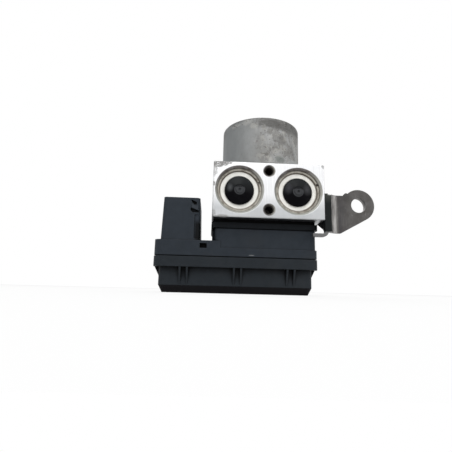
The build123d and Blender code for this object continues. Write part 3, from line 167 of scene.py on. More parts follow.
# Rounded edges: a softened normal, a mask that is 1 on worn edges and one that is 1 deep in crevices, where
# painted shade goes
def makeEdgeGroup():
    group, given, result = newGroup("wornEdges", [
        ("Radius", "NodeSocketFloat", 0.0006), ("Breakup Scale", "NodeSocketFloat", 400.0),
        ("Sharpness", "NodeSocketFloat", 6.0), ("Breakup", "NodeSocketFloat", 0.6),
        ("Crevice Reach", "NodeSocketFloat", 0.004),
    ], [("Mask", "NodeSocketFloat"), ("Normal", "NodeSocketVector"), ("Crevice", "NodeSocketFloat")])
    soft = addNode(group, "ShaderNodeBevel", {"Radius": given["Radius"]}, samples=6).outputs[0]
    real = group.nodes.new("ShaderNodeNewGeometry").outputs["Normal"]
    agree = doVectorMath(group, "DOT_PRODUCT", soft, real)["Value"]
    apart = doMath(group, "MULTIPLY", doMath(group, "SUBTRACT", 1.0, agree), given["Sharpness"], clamp=True)
    place = stretchedPlace(group, shift=(0.3, 0.1, 0.7))  # so that the flecks don't line up with the grain
    flecks = noise(group, place, given["Breakup Scale"], detail=5.0, rough=0.7)
    flecks = mapRange(group, flecks, low=0.38, high=0.62)
    kept = doMath(group, "SUBTRACT", 1.0, given["Breakup"])
    share = doMath(group, "ADD", kept, multiply(group, flecks, given["Breakup"]))
    group.links.new(doMath(group, "MULTIPLY", apart, share, clamp=True), result["Mask"])
    group.links.new(soft, result["Normal"])
    reach = {"Distance": given["Crevice Reach"]}
    clear = addNode(group, "ShaderNodeAmbientOcclusion", reach, samples=8).outputs["AO"]
    group.links.new(mapRange(group, clear, low=0.90, high=0.40), result["Crevice"])
    return group


# Cloudy stains: a mask with soft or hard borders, and the tide line round them
def makeStainGroup():
    group, given, result = newGroup("stains", [
        ("Scale", "NodeSocketFloat", 60.0), ("Start", "NodeSocketFloat", 0.5),
        ("Full", "NodeSocketFloat", 0.65), ("Shift", "NodeSocketVector", (0, 0, 0)),
        ("Stretch", "NodeSocketVector", (1, 1, 1)), ("Line Width", "NodeSocketFloat", 0.02),
    ], [("Mask", "NodeSocketFloat"), ("Border", "NodeSocketFloat")])
    place = stretchedPlace(group, given["Stretch"], given["Shift"])
    cloud = noise(group, place, given["Scale"], detail=6.0, rough=0.6, distortion=0.3)
    group.links.new(mapRange(group, cloud, given["Start"], given["Full"]), result["Mask"])
    middle = multiply(group, doMath(group, "ADD", given["Start"], given["Full"]), 0.5)
    offLine = doMath(group, "ABSOLUTE", doMath(group, "SUBTRACT", cloud, middle))
    group.links.new(mapRange(group, offLine, given["Line Width"], 0.0), result["Border"])
    return group


# A mark round one place, broken up by noise
def makeSpotGroup():
    group, given, result = newGroup("localMark", [
        ("Centre", "NodeSocketVector", (0, 0, 0)), ("Radius", "NodeSocketFloat", 0.005),
        ("Ragged", "NodeSocketFloat", 0.5), ("Scale", "NodeSocketFloat", 500.0),
        ("Squash", "NodeSocketVector", (1, 1, 1)), ("Softness", "NodeSocketFloat", 0.25),
    ], [("Mask", "NodeSocketFloat")])
    place = objectPlace(group)
    apart = doVectorMath(group, "SUBTRACT", place, given["Centre"])[0]
    away = doVectorMath(group, "LENGTH", doVectorMath(group, "MULTIPLY", apart, given["Squash"])[0])["Value"]
    share = doMath(group, "DIVIDE", away, given["Radius"])
    torn = doMath(group, "SUBTRACT", noise(group, place, given["Scale"], detail=5.0, rough=0.7), 0.5)
    edge = doMath(group, "ADD", share, multiply(group, torn, given["Ragged"]))
    full = doMath(group, "SUBTRACT", 1.0, given["Softness"])
    group.links.new(mapRange(group, edge, 1.0, full), result["Mask"])
    return group


# Distance from the nearest of the axes that run along Y, in pairs round a middle
def makeAxisGroup():
    group, given, result = newGroup("fromAxis", [
        ("Middle X", "NodeSocketFloat", blockMiddle.x), ("Middle Z", "NodeSocketFloat", blockMiddle.z),
        ("Aside", "NodeSocketFloat", 0.0), ("Apart", "NodeSocketFloat", 0.0),
    ], [("Radius", "NodeSocketFloat")])
    place = splitPlace(group)
    squares = []
    for axis, middle, offset in (("X", "Middle X", "Aside"), ("Z", "Middle Z", "Apart")):
        away = doMath(group, "ABSOLUTE", doMath(group, "SUBTRACT", place[axis], given[middle]))
        squares.append(doMath(group, "POWER", doMath(group, "SUBTRACT", away, given[offset]), 2.0))
    group.links.new(doMath(group, "SQRT", doMath(group, "ADD", *squares)), result["Radius"])
    return group


grainGroup = makeGrainGroup()
edgeGroup = makeEdgeGroup()
stainGroup = makeStainGroup()
spotGroup = makeSpotGroup()
axisGroup = makeAxisGroup()
print("shared groups made")

# A finish with grain, stains and worn edges; every material below is one set of its values
plainFinish = {
    "colour": (0.5, 0.5, 0.5), "stain": (0.4, 0.4, 0.4), "worn": (0.6, 0.6, 0.6),
    "metallic": 0.0, "level": 0.5, "rough": (0.4, 0.55),
    "fine": 3000.0, "broad": 150.0, "share": 0.4, "stretch": (1, 1, 1),
    "mottle": (0.35, 0.65), "mottleShade": 0.86,
    "stainScale": 60.0, "stainStart": 0.5, "stainFull": 0.68, "stainStretch": (1, 1, 1),
    "stainRough": 0.3, "roughSpan": (0.3, 0.9),
    "edge": 0.0006, "edgeSharp": 6.0, "edgeBreakup": 0.6, "reach": 0.004, "creviceShade": 0.5,
    "bump": 0.25, "bumpDepth": 0.0002,
}


def makeFinish(name, **changes):
    values = {**plainFinish, **changes}
    material = bpy.data.materials.new(name)
    material.use_nodes = True
    tree = material.node_tree
    shader = tree.nodes["Principled BSDF"]
    shader.inputs["Metallic"].default_value = values["metallic"]
    shader.inputs["Specular IOR Level"].default_value = values["level"]
    grain = useGroup(tree, grainGroup, {
        "Fine Scale": values["fine"], "Broad Scale": values["broad"], "Broad Share": values["share"],
        "Stretch": values["stretch"]})
    stain = useGroup(tree, stainGroup, {
        "Scale": values["stainScale"], "Start": values["stainStart"], "Full": values["stainFull"],
        "Stretch": values["stainStretch"]})
    edge = useGroup(tree, edgeGroup, {
        "Radius": values["edge"], "Sharpness": values["edgeSharp"], "Breakup": values["edgeBreakup"],
        "Crevice Reach": values["reach"]})
    shade = tuple(part * values["mottleShade"] for part in values["colour"])
    # painted shade: the stain colour, darkened by creviceShade, is laid deep in crevices, recesses and under
    # overhangs
    darkTone = tuple(part * (1 - values["creviceShade"]) for part in values["stain"])
    colour = mixColours(tree, mapRange(tree, grain["Variation"], *values["mottle"]), values["colour"], shade)
    colour = mixColours(tree, stain["Mask"], colour, values["stain"])
    colour = mixColours(tree, edge["Mask"], colour, values["worn"])
    colour = mixColours(tree, edge["Crevice"], colour, darkTone)
    tree.links.new(colour, shader.inputs["Base Color"])
    uneven = doMath(tree, "ADD", grain["Variation"], multiply(tree, stain["Mask"], values["stainRough"]))
    rough = mapRange(tree, uneven, *values["roughSpan"], *values["rough"])
    tree.links.new(rough, shader.inputs["Roughness"])
    relief = addNode(tree, "ShaderNodeBump", {
        "Height": grain["Height"], "Strength": values["bump"], "Distance": values["bumpDepth"],
        "Normal": edge["Normal"]})
    tree.links.new(relief.outputs[0], shader.inputs["Normal"])
    return material, tree, shader, colour


def dress(material, *names):
    for name in names:
        slots = nodes[name].data.materials
        if not slots:
            slots.append(material)
        for index in range(len(slots)):
            slots[index] = material


# In the looks below, colours are linear and lengths are metres. A ramp is where an effect starts and where
# it is full, and two more numbers are its values there where they aren't 0 and 1. Depth is how much of a
# mark's colour shows.

# The block: milled extrusion, scuffed at two corners, brownish film and painted shade in its recesses,
# painted shade low on its face
# Across and up are from the block's middle, behind is from its front face
blockLook = {
    "finish": {
        "colour": (0.80, 0.805, 0.815), "stain": (0.72, 0.725, 0.74), "worn": (0.90, 0.90, 0.90),
        "metallic": 1.0, "rough": (0.34, 0.46), "fine": 2500.0, "broad": 900.0, "share": 0.6,
        "stretch": (1.0, 1.0, 0.06), "stainScale": 55.0, "stainStart": 0.45, "stainFull": 0.75,
        "stainStretch": (1.0, 0.4, 0.25), "edge": 0.0005, "edgeSharp": 3.0, "reach": 0.006,
        "bump": 0.12, "bumpDepth": 0.00008},
    "lowShade": (0.43, 0.445, 0.455), "lowShadeUp": (-0.004, -0.016), "lowShadeAcross": (-0.0485, 0.0175, 0.80, 1.0),
    "lowShadeCloud": {"Scale": 70.0, "Start": 0.25, "Full": 0.7}, "lowShadePatches": (0, 1, 0.72, 1.0),
    "filmShadeAbove": (0.060, 0.047, 0.040), "filmBelow": (0.34, 0.345, 0.31), "filmShadeUp": (-0.012, 0.012),
    "filmLightRight": (0.42, 0.415, 0.37), "filmLightFacing": (-0.25, -0.60, 0.0, 0.7),
    "filmCloud": {"Scale": 180.0, "Start": 0.30, "Full": 0.62}, "filmPatches": (0, 1, 0.8, 1.0),
    "filmStart": (0.00004, 0.0002), "filmEnd": (0.0304, 0.0284),
    "sideMargin": (0.0005, 0.0010), "topMargin": (0.0003, 0.0006),
    "ringShadeLeft": (0.036, 0.030, 0.027), "ringRight": (0.24, 0.23, 0.20), "ringAcross": (-0.0005, 0.0048),
    "ringRadius": (0.0053, 0.0049), "ringPatches": (0, 1, 0.6, 1.0),
    "hole": (0.022, 0.017, 0.013), "holeRise": 0.0164, "holeRadius": (0.0042, 0.0040),
    "holeBehind": (0.0003, 0.0016), "threadPitch": 0.00125, "threadDepth": 0.00022,
    "dirtMetallic": 0.25, "markScale": 400.0,
    "scuff": (0.18, 0.175, 0.17), "scuffRagged": 1.8, "nick": (0.30, 0.30, 0.295), "nickRagged": 0.9,
    "scratches": {"Scale": 900.0, "Start": 0.34, "Full": 0.52, "Stretch": (1.0, 1.0, 1.6)},
    # each mark: across and up, radius, squash, depth
    "scuffs": [((-0.0425, 0.0228), 0.0066, (0.75, 1.0, 1.3), 1.0),
               ((-0.0367, 0.0226), 0.0044, (0.7, 1.0, 1.5), 0.9),
               ((-0.0453, 0.0163), 0.0060, (2.2, 1.0, 0.8), 0.6),
               ((-0.0459, 0.0038), 0.0022, (1.0, 1.0, 1.0), 0.9),
               ((0.0458, 0.0218), 0.0024, (1.0, 1.0, 1.0), 0.7),
               ((-0.0459, -0.0202), 0.0030, (1.0, 1.0, 1.0), 0.7)],
    "nicks": [((-0.0377, -0.0229), 0.0052, (1.0, 1.0, 3.2), 0.85),
              ((-0.0445, -0.0235), 0.0030, (1.0, 1.0, 1.6), 0.7)],
}


def makeBlockMaterial(look):
    material, tree, shader, colour = makeFinish("milledAluminium", **look["finish"])
    place = splitPlace(tree)
    across = doMath(tree, "SUBTRACT", place["X"], blockMiddle.x)
    behind = doMath(tree, "SUBTRACT", place["Y"], blockLow.y)
    up = doMath(tree, "SUBTRACT", place["Z"], blockMiddle.z)

    # painted shade: darker towards the bottom, most of all at the right
    cloud = useGroup(tree, stainGroup, look["lowShadeCloud"])["Mask"]
    lowShade = multiply(tree, mapRange(tree, up, *look["lowShadeUp"]), mapRange(tree, across, *look["lowShadeAcross"]),
                    mapRange(tree, cloud, *look["lowShadePatches"]))
    colour = mixColours(tree, lowShade, colour, look["lowShade"])

    # film in the reservoir mouths and holes, behind the front face only, partly brownish dirt and partly
    # painted shade, darkest on the upper walls, with painted light on walls facing left; it is dirt, so it
    # isn't metallic
    deep = mapRange(tree, behind, *look["filmStart"])
    front = mapRange(tree, behind, *look["filmEnd"])
    fromSide = doMath(tree, "SUBTRACT", blockHalf.x, doMath(tree, "ABSOLUTE", across))
    fromTop = doMath(tree, "SUBTRACT", blockHalf.z, doMath(tree, "ABSOLUTE", up))
    recess = multiply(tree, deep, front, mapRange(tree, fromSide, *look["sideMargin"]),
                      mapRange(tree, fromTop, *look["topMargin"]))
    patchy = useGroup(tree, stainGroup, look["filmCloud"])["Mask"]
    film = multiply(tree, recess, mapRange(tree, patchy, *look["filmPatches"]))
    shade = mixColours(tree, mapRange(tree, up, *look["filmShadeUp"]), look["filmBelow"], look["filmShadeAbove"])
    normal = tree.nodes.new("ShaderNodeNewGeometry").outputs["Normal"]
    facing = addNode(tree, "ShaderNodeSeparateXYZ", {0: normal}).outputs["X"]
    shade = mixColours(tree, mapRange(tree, facing, *look["filmLightFacing"]), shade, look["filmLightRight"])
    colour = mixColours(tree, film, colour, shade)

    # brown ring round each mounting hole, with painted shade on its left side, and painted shade inside the
    # hole, deeper further in
    fromHole = useGroup(tree, axisGroup, {"Apart": look["holeRise"]})["Radius"]
    ring = mixColours(tree, mapRange(tree, across, *look["ringAcross"]), look["ringShadeLeft"], look["ringRight"])
    nearHole = multiply(tree, mapRange(tree, fromHole, *look["ringRadius"]), front)
    stained = multiply(tree, nearHole, mapRange(tree, patchy, *look["ringPatches"]))
    colour = mixColours(tree, stained, colour, ring)
    inHole = multiply(tree, mapRange(tree, fromHole, *look["holeRadius"]), deep, front)
    dark = multiply(tree, inHole, mapRange(tree, behind, *look["holeBehind"]))
    colour = mixColours(tree, dark, colour, look["hole"])
    dirt = doMath(tree, "MAXIMUM", film, nearHole)

    # scuffs made of short ragged scratches, then flat nicks at the lower edge
    scratches = useGroup(tree, stainGroup, look["scratches"])["Mask"]
    marks = [(*mark, look["scuff"], scratches, look["scuffRagged"]) for mark in look["scuffs"]]
    marks += [(*mark, look["nick"], 1.0, look["nickRagged"]) for mark in look["nicks"]]
    for (aside, rise), radius, squash, depth, tint, texture, ragged in marks:
        centre = (blockMiddle.x + aside, blockLow.y, blockMiddle.z + rise)
        mark = useGroup(tree, spotGroup, {
            "Centre": centre, "Radius": radius, "Squash": squash, "Ragged": ragged,
            "Scale": look["markScale"]})["Mask"]
        share = multiply(tree, mark, texture, depth)
        colour = mixColours(tree, share, colour, tint)
        dirt = doMath(tree, "MAXIMUM", dirt, share)
    tree.links.new(colour, shader.inputs["Base Color"])
    metallic = mapRange(tree, dirt, 0, 1, look["finish"]["metallic"], look["dirtMetallic"])
    tree.links.new(metallic, shader.inputs["Metallic"])

    # screw thread in the two mounting holes
    wave = doMath(tree, "SINE", multiply(tree, place["Y"], 2 * math.pi / look["threadPitch"]))
    thread = addNode(tree, "ShaderNodeBump", {
        "Height": multiply(tree, wave, inHole), "Strength": 1.0, "Distance": look["threadDepth"],
        "Normal": shader.inputs["Normal"].links[0].from_socket})
    tree.links.new(thread.outputs[0], shader.inputs["Normal"])
    return material


dress(makeBlockMaterial(blockLook), "hydraulic_block")
print("block finished")

# The motor: drawn can, smooth and with cool painted shade at the left, stained at the right, and scuffed and
# darkened with painted shade under the rim
# Across is from the can's axis, below is from its top
motorLook = {
    "finish": {
        "colour": (0.345, 0.350, 0.347), "stain": (0.240, 0.238, 0.230), "worn": (0.40, 0.40, 0.40),
        "metallic": 0.6, "rough": (0.58, 0.72), "fine": 1800.0, "broad": 180.0, "share": 0.5,
        "stretch": (1, 1, 0.4), "stainScale": 70.0, "stainStart": 0.42, "stainFull": 0.68,
        "stainStretch": (1, 1, 0.5), "edge": 0.001, "edgeSharp": 2.0, "creviceShade": 0.3,
        "bump": 0.22, "bumpDepth": 0.00012},
    "coolShade": (0.185, 0.196, 0.198), "coolShadeAcross": (0.000, -0.026, 0.0, 0.85),
    "stainedAcross": (-0.012, -0.001), "darkTone": (0.070, 0.064, 0.057),
    "crumbs": {"Scale": 330.0, "Start": 0.46, "Full": 0.56, "Shift": (0.3, 0.8, 0.6)},
    # each stain: cloud, colour, depth, depth of its tide line
    "stains": [({"Scale": 62.0, "Start": 0.47, "Full": 0.55, "Shift": (0.4, 0.2, 0.9),
                 "Stretch": (1, 1, 0.8), "Line Width": 0.012}, (0.150, 0.142, 0.130), 0.50, 0.75),
               ({"Scale": 170.0, "Start": 0.53, "Full": 0.60, "Shift": (0.2, 0.5, 0.4),
                 "Line Width": 0.015}, (0.36, 0.355, 0.33), 0.55, 0.5)],
    "shadedBelt": (0.105, 0.103, 0.099), "shadedBeltBelow": (0.0156, 0.0116), "shadedBeltAcross": (-0.016, -0.004),
    "rimBelow": (0.0066, 0.0046), "shadedBeltPatches": (0, 1, 0.50, 0.95),
    "rubs": {"Scale": 260.0, "Start": 0.40, "Full": 0.56, "Shift": (0.6, 0.3, 0.1), "Stretch": (1, 1, 1.6)},
    "specks": {"Scale": 520.0, "Start": 0.58, "Full": 0.64, "Shift": (0.1, 0.7, 0.2)},
    "speckBelow": (0.0131, 0.0091, 0.0, 0.8), "speckAcross": (0, 1, 0.10, 0.60),
    "patchMiddle": 0.0025, "canRadius": 0.035, "squashBack": 0.8,
    "patch": {"Ragged": 1.6, "Scale": 260.0, "Softness": 0.5},
    # each patch: sideways from patchMiddle, height, radius, squash across and up, colour, depth
    "patches": [(0.0030, 0.1440, 0.0060, 0.55, 1.3, (0.100, 0.098, 0.094), 0.75),
                (0.0005, 0.1362, 0.0036, 1.2, 0.9, (0.13, 0.126, 0.118), 0.7),
                (0.0100, 0.1425, 0.0060, 0.8, 1.3, (0.11, 0.108, 0.104), 0.6),
                (0.0111, 0.1298, 0.0048, 1.0, 0.8, (0.13, 0.125, 0.118), 0.6),
                (0.0206, 0.1424, 0.0070, 1.0, 0.9, (0.13, 0.130, 0.126), 0.5),
                (0.0056, 0.1283, 0.0030, 1.0, 2.5, (0.11, 0.105, 0.098), 0.6),
                (-0.0029, 0.1162, 0.0032, 0.8, 3.0, (0.13, 0.125, 0.112), 0.7),
                (0.0100, 0.1120, 0.0048, 0.8, 1.3, (0.14, 0.155, 0.145), 0.7),
                (-0.0346, 0.1429, 0.0060, 1.0, 0.8, (0.13, 0.125, 0.12), 0.4),
                (-0.0265, 0.1447, 0.0046, 0.6, 2.2, (0.36, 0.355, 0.34), 0.6),
                (-0.0178, 0.1456, 0.0040, 0.7, 1.2, (0.42, 0.415, 0.39), 0.35),
                (-0.0125, 0.1410, 0.0040, 0.8, 1.2, (0.42, 0.415, 0.38), 0.3),
                (-0.0101, 0.1274, 0.0014, 1.0, 1.0, (0.18, 0.17, 0.17), 0.7)],
}


def makeMotorMaterial(look):
    material, tree, shader, colour = makeFinish("drawnSteelCan", **look["finish"])
    place = splitPlace(tree)
    below = doMath(tree, "SUBTRACT", canTop, place["Z"])

    # painted shade with a cool tint at the left
    colour = mixColours(tree, mapRange(tree, place["X"], *look["coolShadeAcross"]), colour, look["coolShade"])

    # stains with tide lines, from the middle to the right
    side = mapRange(tree, place["X"], *look["stainedAcross"])
    broken = multiply(tree, useGroup(tree, stainGroup, look["crumbs"])["Mask"], side)
    for cloud, tint, depth, lineDepth in look["stains"]:
        stain = useGroup(tree, stainGroup, cloud)
        colour = mixColours(tree, multiply(tree, stain["Mask"], side, depth), colour, tint)
        colour = mixColours(tree, multiply(tree, stain["Border"], broken, lineDepth), colour, look["darkTone"])

    # scuffed belt under the rim, darkened with painted shade, most of all at the right
    shadedBelt = multiply(tree, mapRange(tree, below, *look["shadedBeltBelow"]),
                    mapRange(tree, place["X"], *look["shadedBeltAcross"]))
    share = doMath(tree, "MAXIMUM", shadedBelt, mapRange(tree, below, *look["rimBelow"]))
    rubs = mapRange(tree, useGroup(tree, stainGroup, look["rubs"])["Mask"], *look["shadedBeltPatches"])
    colour = mixColours(tree, multiply(tree, share, rubs), colour, look["shadedBelt"])

    # single patches on the can's front
    for aside, height, radius, squashAcross, squashUp, tint, depth in look["patches"]:
        centre = (look["patchMiddle"] + aside, -math.sqrt(look["canRadius"] ** 2 - aside ** 2), height)
        squash = (squashAcross, look["squashBack"], squashUp)
        mark = useGroup(tree, spotGroup, {
            "Centre": centre, "Radius": radius, "Squash": squash, **look["patch"]})["Mask"]
        colour = mixColours(tree, multiply(tree, mark, depth), colour, tint)

    # dark specks, also along the whole rim
    specks = useGroup(tree, stainGroup, look["specks"])["Mask"]
    share = doMath(tree, "MAXIMUM", mapRange(tree, side, *look["speckAcross"]),
                   mapRange(tree, below, *look["speckBelow"]))
    colour = mixColours(tree, multiply(tree, specks, share), colour, look["darkTone"])
    tree.links.new(colour, shader.inputs["Base Color"])
    return material


dress(makeMotorMaterial(motorLook), "motor_can")
print("motor finished")

# Control unit: glass-filled plastic, slate black, its foot bevel darkened with painted shade
# Its places, and the bracket's further down, are in the part's frame
unitLook = {
    "housing": (0.0270, 0.0330, 0.0410), "cover": (0.0215, 0.0258, 0.0305),
    # its crevice settings paint deep shade under the block and in the unit's recesses
    "finish": {
        "stain": (0.030, 0.033, 0.036), "worn": (0.050, 0.054, 0.060), "level": 0.07, "rough": (0.42, 0.56),
        "fine": 2600.0, "broad": 120.0, "share": 0.15, "stainScale": 45.0, "stainStart": 0.52,
        "stainFull": 0.98, "edge": 0.0007, "edgeSharp": 1.2, "edgeBreakup": 0.5, "reach": 0.0090,
        "creviceShade": 0.96, "bump": 0.22, "bumpDepth": 0.00012},
    "foot": (0.0055, 0.0048, 0.0058), "footZ": (0.0062, 0.0057, 0.0, 0.85),
    # darkened zones, as ramps at the left, right, bottom and top, with their depth: the shroud's channel,
    # then under the tower's lip
    "shadow": (0.0030, 0.0034, 0.0036),
    "zones": [((-0.0585, -0.0562), (-0.0512, -0.0520), (0.0422, 0.0434), (0.0605, 0.0560), 0.90),
              ((-0.0460, -0.0440), (0.0500, 0.0480), (0.0532, 0.0537), (0.0600, 0.0590), 0.72)],
    "scratch": (0.16, 0.165, 0.17), "scratchDepth": 0.8,
    "scratchMark": {"Centre": (-0.0102, -0.02615, 0.0313), "Radius": 0.0020, "Squash": (0.8, 0.3, 4.0),
                    "Ragged": 0.8, "Scale": 600.0},
}


def makeHousingMaterial(look):
    material, tree, shader, colour = makeFinish("unitHousing", colour=look["housing"], **look["finish"])
    place = splitPlace(tree)
    for left, right, bottom, top, depth in look["zones"]:
        share = multiply(tree, mapRange(tree, place["X"], *left), mapRange(tree, place["X"], *right),
                         mapRange(tree, place["Z"], *bottom), mapRange(tree, place["Z"], *top), depth)
        colour = mixColours(tree, share, colour, look["shadow"])
    mark = useGroup(tree, spotGroup, look["scratchMark"])["Mask"]
    colour = mixColours(tree, multiply(tree, mark, look["scratchDepth"]), colour, look["scratch"])
    tree.links.new(colour, shader.inputs["Base Color"])
    return material


def makeCoverMaterial(look):
    material, tree, shader, colour = makeFinish("unitCover", colour=look["cover"], **look["finish"])
    # painted shade on the downward-facing foot bevel
    foot = mapRange(tree, splitPlace(tree)["Z"], *look["footZ"])
    tree.links.new(mixColours(tree, foot, colour, look["foot"]), shader.inputs["Base Color"])
    return material


dress(makeHousingMaterial(unitLook), "ecu_housing")
dress(makeCoverMaterial(unitLook), "ecu_cover")
print("control unit finished")

# Reservoir parts: ivory washer browned with dirt and painted shadow along the ring, black cap with painted
# sheen on its upper half and a painted highlight on its boss, plated ring
# Across and up are from the block's middle, behind is from its front face
reservoirLook = {
    "aside": 0.02425,
    "washer": {
        "colour": (0.92, 0.91, 0.86), "stain": (0.72, 0.68, 0.57), "worn": (0.92, 0.91, 0.86), "level": 0.3,
        "stainScale": 130.0, "stainStart": 0.56, "stainFull": 1.0, "edge": 0.0003, "reach": 0.0012,
        "creviceShade": 0.8, "bump": 0.12, "bumpDepth": 0.0001},
    "brownAndShadow": (0.115, 0.090, 0.065), "brownUp": 0.0003, "brownRadius": (0.0155, 0.0159),
    "brownCloud": {"Scale": 210.0, "Start": 0.30, "Full": 0.60}, "brownPatches": (0, 1, 0.65, 0.95),
    "cap": {
        "colour": (0.0014, 0.0012, 0.0022), "stain": (0.006, 0.006, 0.007), "worn": (0.030, 0.030, 0.034),
        "level": 0.05, "rough": (0.28, 0.40), "stainScale": 130.0, "stainStart": 0.52, "stainFull": 0.80,
        "edge": 0.0005, "bump": 0.10, "bumpDepth": 0.0001},
    "capSheenAbove": (0.0150, 0.0165, 0.0175), "capSheenUp": (-0.003, 0.007),
    "boss": (0.052, 0.054, 0.058), "bossRadius": (0.0047, 0.0042), "bossUp": (0.0026, 0.0014),
    "bossMiddle": (0.0008, 0.0014, 0.35, 1.0), "bossDepth": 0.85,
    "smudgeAndSheen": {"Squash": (1.0, 0.2, 0.7), "Ragged": 0.5, "Scale": 300.0, "Softness": 0.9},
    # each painted sheen spot: across, behind and up, radius, colour, depth
    "smudgesAndSheen": [((-0.0321, 0.0024, 0.0016), 0.0030, (0.10, 0.105, 0.11), 0.65),
                ((0.0163, 0.0024, 0.0026), 0.0040, (0.050, 0.050, 0.057), 0.7),
                ((0.0317, 0.0024, 0.0020), 0.0040, (0.055, 0.055, 0.060), 0.7)],
    "ring": {
        "colour": (0.42, 0.40, 0.35), "stain": (0.17, 0.15, 0.125), "worn": (0.48, 0.45, 0.39),
        "metallic": 0.35, "rough": (0.32, 0.46), "stainScale": 240.0, "stainStart": 0.44, "stainFull": 0.66,
        "edge": 0.0002, "reach": 0.0012, "creviceShade": 0.7},
}


def makeWasherMaterial(look):
    material, tree, shader, colour = makeFinish("ivoryWasher", **look["washer"])
    # brown dirt and painted shadow along the snap ring's inner edge
    middleZ = blockMiddle.z + look["brownUp"]
    away = useGroup(tree, axisGroup, {"Aside": look["aside"], "Middle Z": middleZ})["Radius"]
    cloud = useGroup(tree, stainGroup, look["brownCloud"])["Mask"]
    share = multiply(tree, mapRange(tree, away, *look["brownRadius"]),
                     mapRange(tree, cloud, *look["brownPatches"]))
    tree.links.new(mixColours(tree, share, colour, look["brownAndShadow"]), shader.inputs["Base Color"])
    return material


def makeCapMaterial(look):
    material, tree, shader, colour = makeFinish("blackCap", **look["cap"])
    up = doMath(tree, "SUBTRACT", splitPlace(tree)["Z"], blockMiddle.z)
    # painted sheen on the cap's upper half
    colour = mixColours(tree, mapRange(tree, up, *look["capSheenUp"]), colour, look["capSheenAbove"])
    # painted highlight on the lower part of the boss
    away = useGroup(tree, axisGroup, {"Aside": look["aside"]})["Radius"]
    share = multiply(tree, mapRange(tree, away, *look["bossRadius"]),
                     mapRange(tree, away, *look["bossMiddle"]), mapRange(tree, up, *look["bossUp"]),
                     look["bossDepth"])
    colour = mixColours(tree, share, colour, look["boss"])
    # painted sheen spots on the domes
    for (aside, behind, rise), radius, tint, depth in look["smudgesAndSheen"]:
        centre = (blockMiddle.x + aside, blockLow.y + behind, blockMiddle.z + rise)
        mark = useGroup(tree, spotGroup, {"Centre": centre, "Radius": radius, **look["smudgeAndSheen"]})["Mask"]
        colour = mixColours(tree, multiply(tree, mark, depth), colour, tint)
    tree.links.new(colour, shader.inputs["Base Color"])
    return material


dress(makeWasherMaterial(reservoirLook), "reservoir_washers")
dress(makeCapMaterial(reservoirLook), "reservoir_caps")
dress(makeFinish("springRing", **reservoirLook["ring"])[0], "snap_rings")
print("reservoir parts finished")

# Bracket: coated sheet, dull and stained, with a painted highlight where it bends and painted shade that
# makes its leg nearly black
bracketLook = {
    "finish": {
        "colour": (0.105, 0.101, 0.098), "stain": (0.069, 0.065, 0.061), "worn": (0.40, 0.39, 0.38),
        "metallic": 0.75, "level": 0.1, "rough": (0.34, 0.48), "fine": 1600.0, "broad": 260.0, "share": 0.6,
        "stretch": (1, 1, 0.15), "stainScale": 95.0, "stainStart": 0.44, "stainFull": 0.7, "edge": 0.0005,
        "edgeSharp": 1.6, "creviceShade": 0.6, "bump": 0.22, "bumpDepth": 0.00012},
    "bareAndHighlight": (0.40, 0.39, 0.38), "bendStart": (0.0542, 0.0552), "bendEnd": (0.0625, 0.0585),
    "streaks": {"Scale": 560.0, "Start": 0.36, "Full": 0.60, "Stretch": (1.0, 1.0, 0.12)},
    "bendPatches": (0, 1, 0.12, 0.95),
    "scratches": {"Scale": 700.0, "Start": 0.60, "Full": 0.66, "Stretch": (1.0, 1.0, 0.3),
                  "Shift": (0.7, 0.1, 0.3)},
    "scratchDepth": 0.15,
    "shade": (0.059, 0.056, 0.059), "shadeStart": (0.0615, 0.0635), "shadeEnd": (0.0720, 0.0655),
    "shadePatches": (0, 1, 0.95, 0.25),
    "smudgeColour": (0.054, 0.053, 0.051),
    "smudgeAndSheen": {"Squash": (1.0, 0.2, 0.8), "Ragged": 1.5, "Scale": 350.0, "Softness": 0.6},
    # each smudge: place, radius, depth
    "smudgesAndSheen": [((0.0700, -0.0271, 0.0830), 0.0045, 0.6), ((0.0672, -0.0271, 0.0720), 0.0040, 0.4)],
    "hook": (0.147, 0.147, 0.147), "hookUp": (0.0520, 0.0510),
    "leg": (0.008, 0.010, 0.010), "legAbove": (0.070, 0.073, 0.066), "legAcross": (0.0541, 0.0539),
    "legUp": (0.0750, 0.0870), "legMetallic": 0.0,
}


